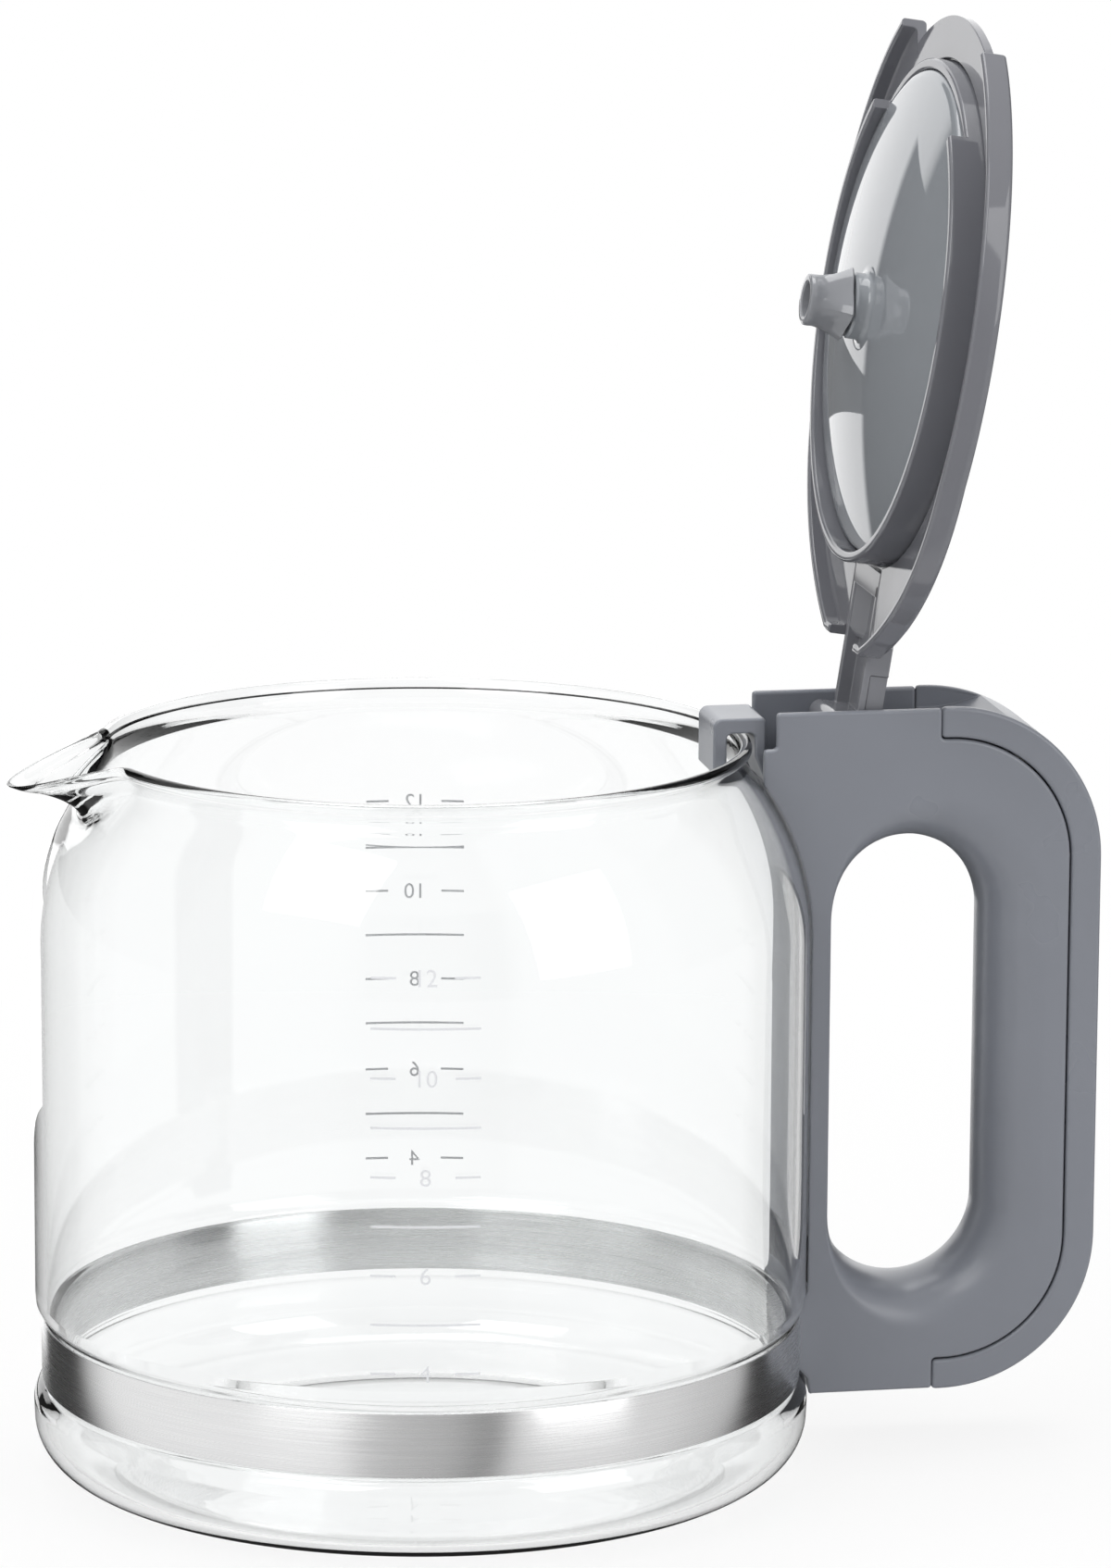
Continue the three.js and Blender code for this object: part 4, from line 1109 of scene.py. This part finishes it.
def world():
    """White to the camera, the room to gloss and glass, and an even fill for the rest."""
    sky = bpy.data.worlds.new("studio")
    bpy.context.scene.world = sky
    sky.use_nodes = True
    tree = sky.node_tree
    background = tree.nodes["Background"]
    path = add(tree, "ShaderNodeLightPath")
    place = add(tree, "ShaderNodeTexCoord").outputs["Generated"]
    split = add(tree, "ShaderNodeSeparateXYZ")
    tree.links.new(place, split.inputs["Vector"])
    rise = split.outputs["Z"]
    off_floor = value(tree, "GREATER_THAN", rise, SWEEP_FOOT)
    sweep = value(tree, "MULTIPLY", off_floor, room(tree, place, SWEEP))
    tilted = value(tree, "ADD", rise, value(tree, "MULTIPLY", split.outputs["X"], GAP_TILT))
    under_sweep = value(tree, "LESS_THAN", rise, GAP_TOP)
    over_table = value(tree, "GREATER_THAN", tilted, GAP_FOOT)
    gap = value(tree, "MULTIPLY", value(tree, "MULTIPLY", under_sweep, over_table), GAP_DEPTH)
    sweep = value(tree, "MULTIPLY", sweep, value(tree, "SUBTRACT", 1.0, gap))
    above = value(tree, "GREATER_THAN", rise, STRIP_FOOT)
    below = value(tree, "LESS_THAN", rise, STRIP_TOP)
    strip = value(tree, "MULTIPLY", value(tree, "MULTIPLY", above, below), room(tree, place, STRIP))
    white = value(tree, "MULTIPLY", value(tree, "MAXIMUM", sweep, strip), SWEEP_LEVEL)
    overhead = value(tree, "MULTIPLY", value(tree, "GREATER_THAN", rise, OVERHEAD_FOOT), OVERHEAD_LEVEL)
    around = value(tree, "MAXIMUM", room(tree, place, GLOSS_ROOM), value(tree, "MAXIMUM", white, overhead))
    gloss = value(tree, "MULTIPLY", mirror_ray(tree, path), around)
    through = value(tree, "MULTIPLY", path.outputs["Is Transmission Ray"], room(tree, place, GLASS_ROOM))
    seen = value(tree, "MAXIMUM", path.outputs["Is Camera Ray"], value(tree, "MAXIMUM", gloss, through))
    fill = value(tree, "MULTIPLY", path.outputs["Is Diffuse Ray"], FILL_LEVEL)
    tree.links.new(value(tree, "MAXIMUM", seen, fill), background.inputs["Strength"])
    background.inputs["Color"].default_value = (1, 1, 1, 1)


def lamp(name, power, size, place, target):
    light = bpy.data.lights.new(name, "AREA")
    light.energy = power
    light.shape = "RECTANGLE"
    light.size, light.size_y = size
    holder = bpy.data.objects.new(name, light)
    holder.location = place
    aim = Vector(target) - Vector(place)
    holder.rotation_euler = aim.to_track_quat("-Z", "Y").to_euler()
    bpy.context.scene.collection.objects.link(holder)


def camera():
    lens = bpy.data.cameras.new("photo_camera")
    lens.sensor_fit = "VERTICAL"
    lens.sensor_height = 36.0
    lens.lens = 167.7
    lens.clip_end = 50.0
    holder = bpy.data.objects.new("photo_camera", lens)
    holder.location = (-0.22727, -1.35812, 0.4204)
    holder.rotation_euler = (math.radians(78.320), math.radians(-0.304), math.radians(-10.507))
    bpy.context.scene.collection.objects.link(holder)
    bpy.context.scene.camera = holder


floor()
world()
lamp("key", 9.5, (0.9, 0.9), (-0.9, -0.9, 1.3), (0.03, 0, 0.12))
lamp("fill", 6.2, (0.8, 1.0), (0.9, -1.1, 0.7), (0.05, 0, 0.12))
lamp("top", 11.0, (1.0, 0.8), (0.0, 0.2, 1.5), (0.03, 0, 0.1))
camera()
bpy.context.scene.view_settings.view_transform = "Standard"
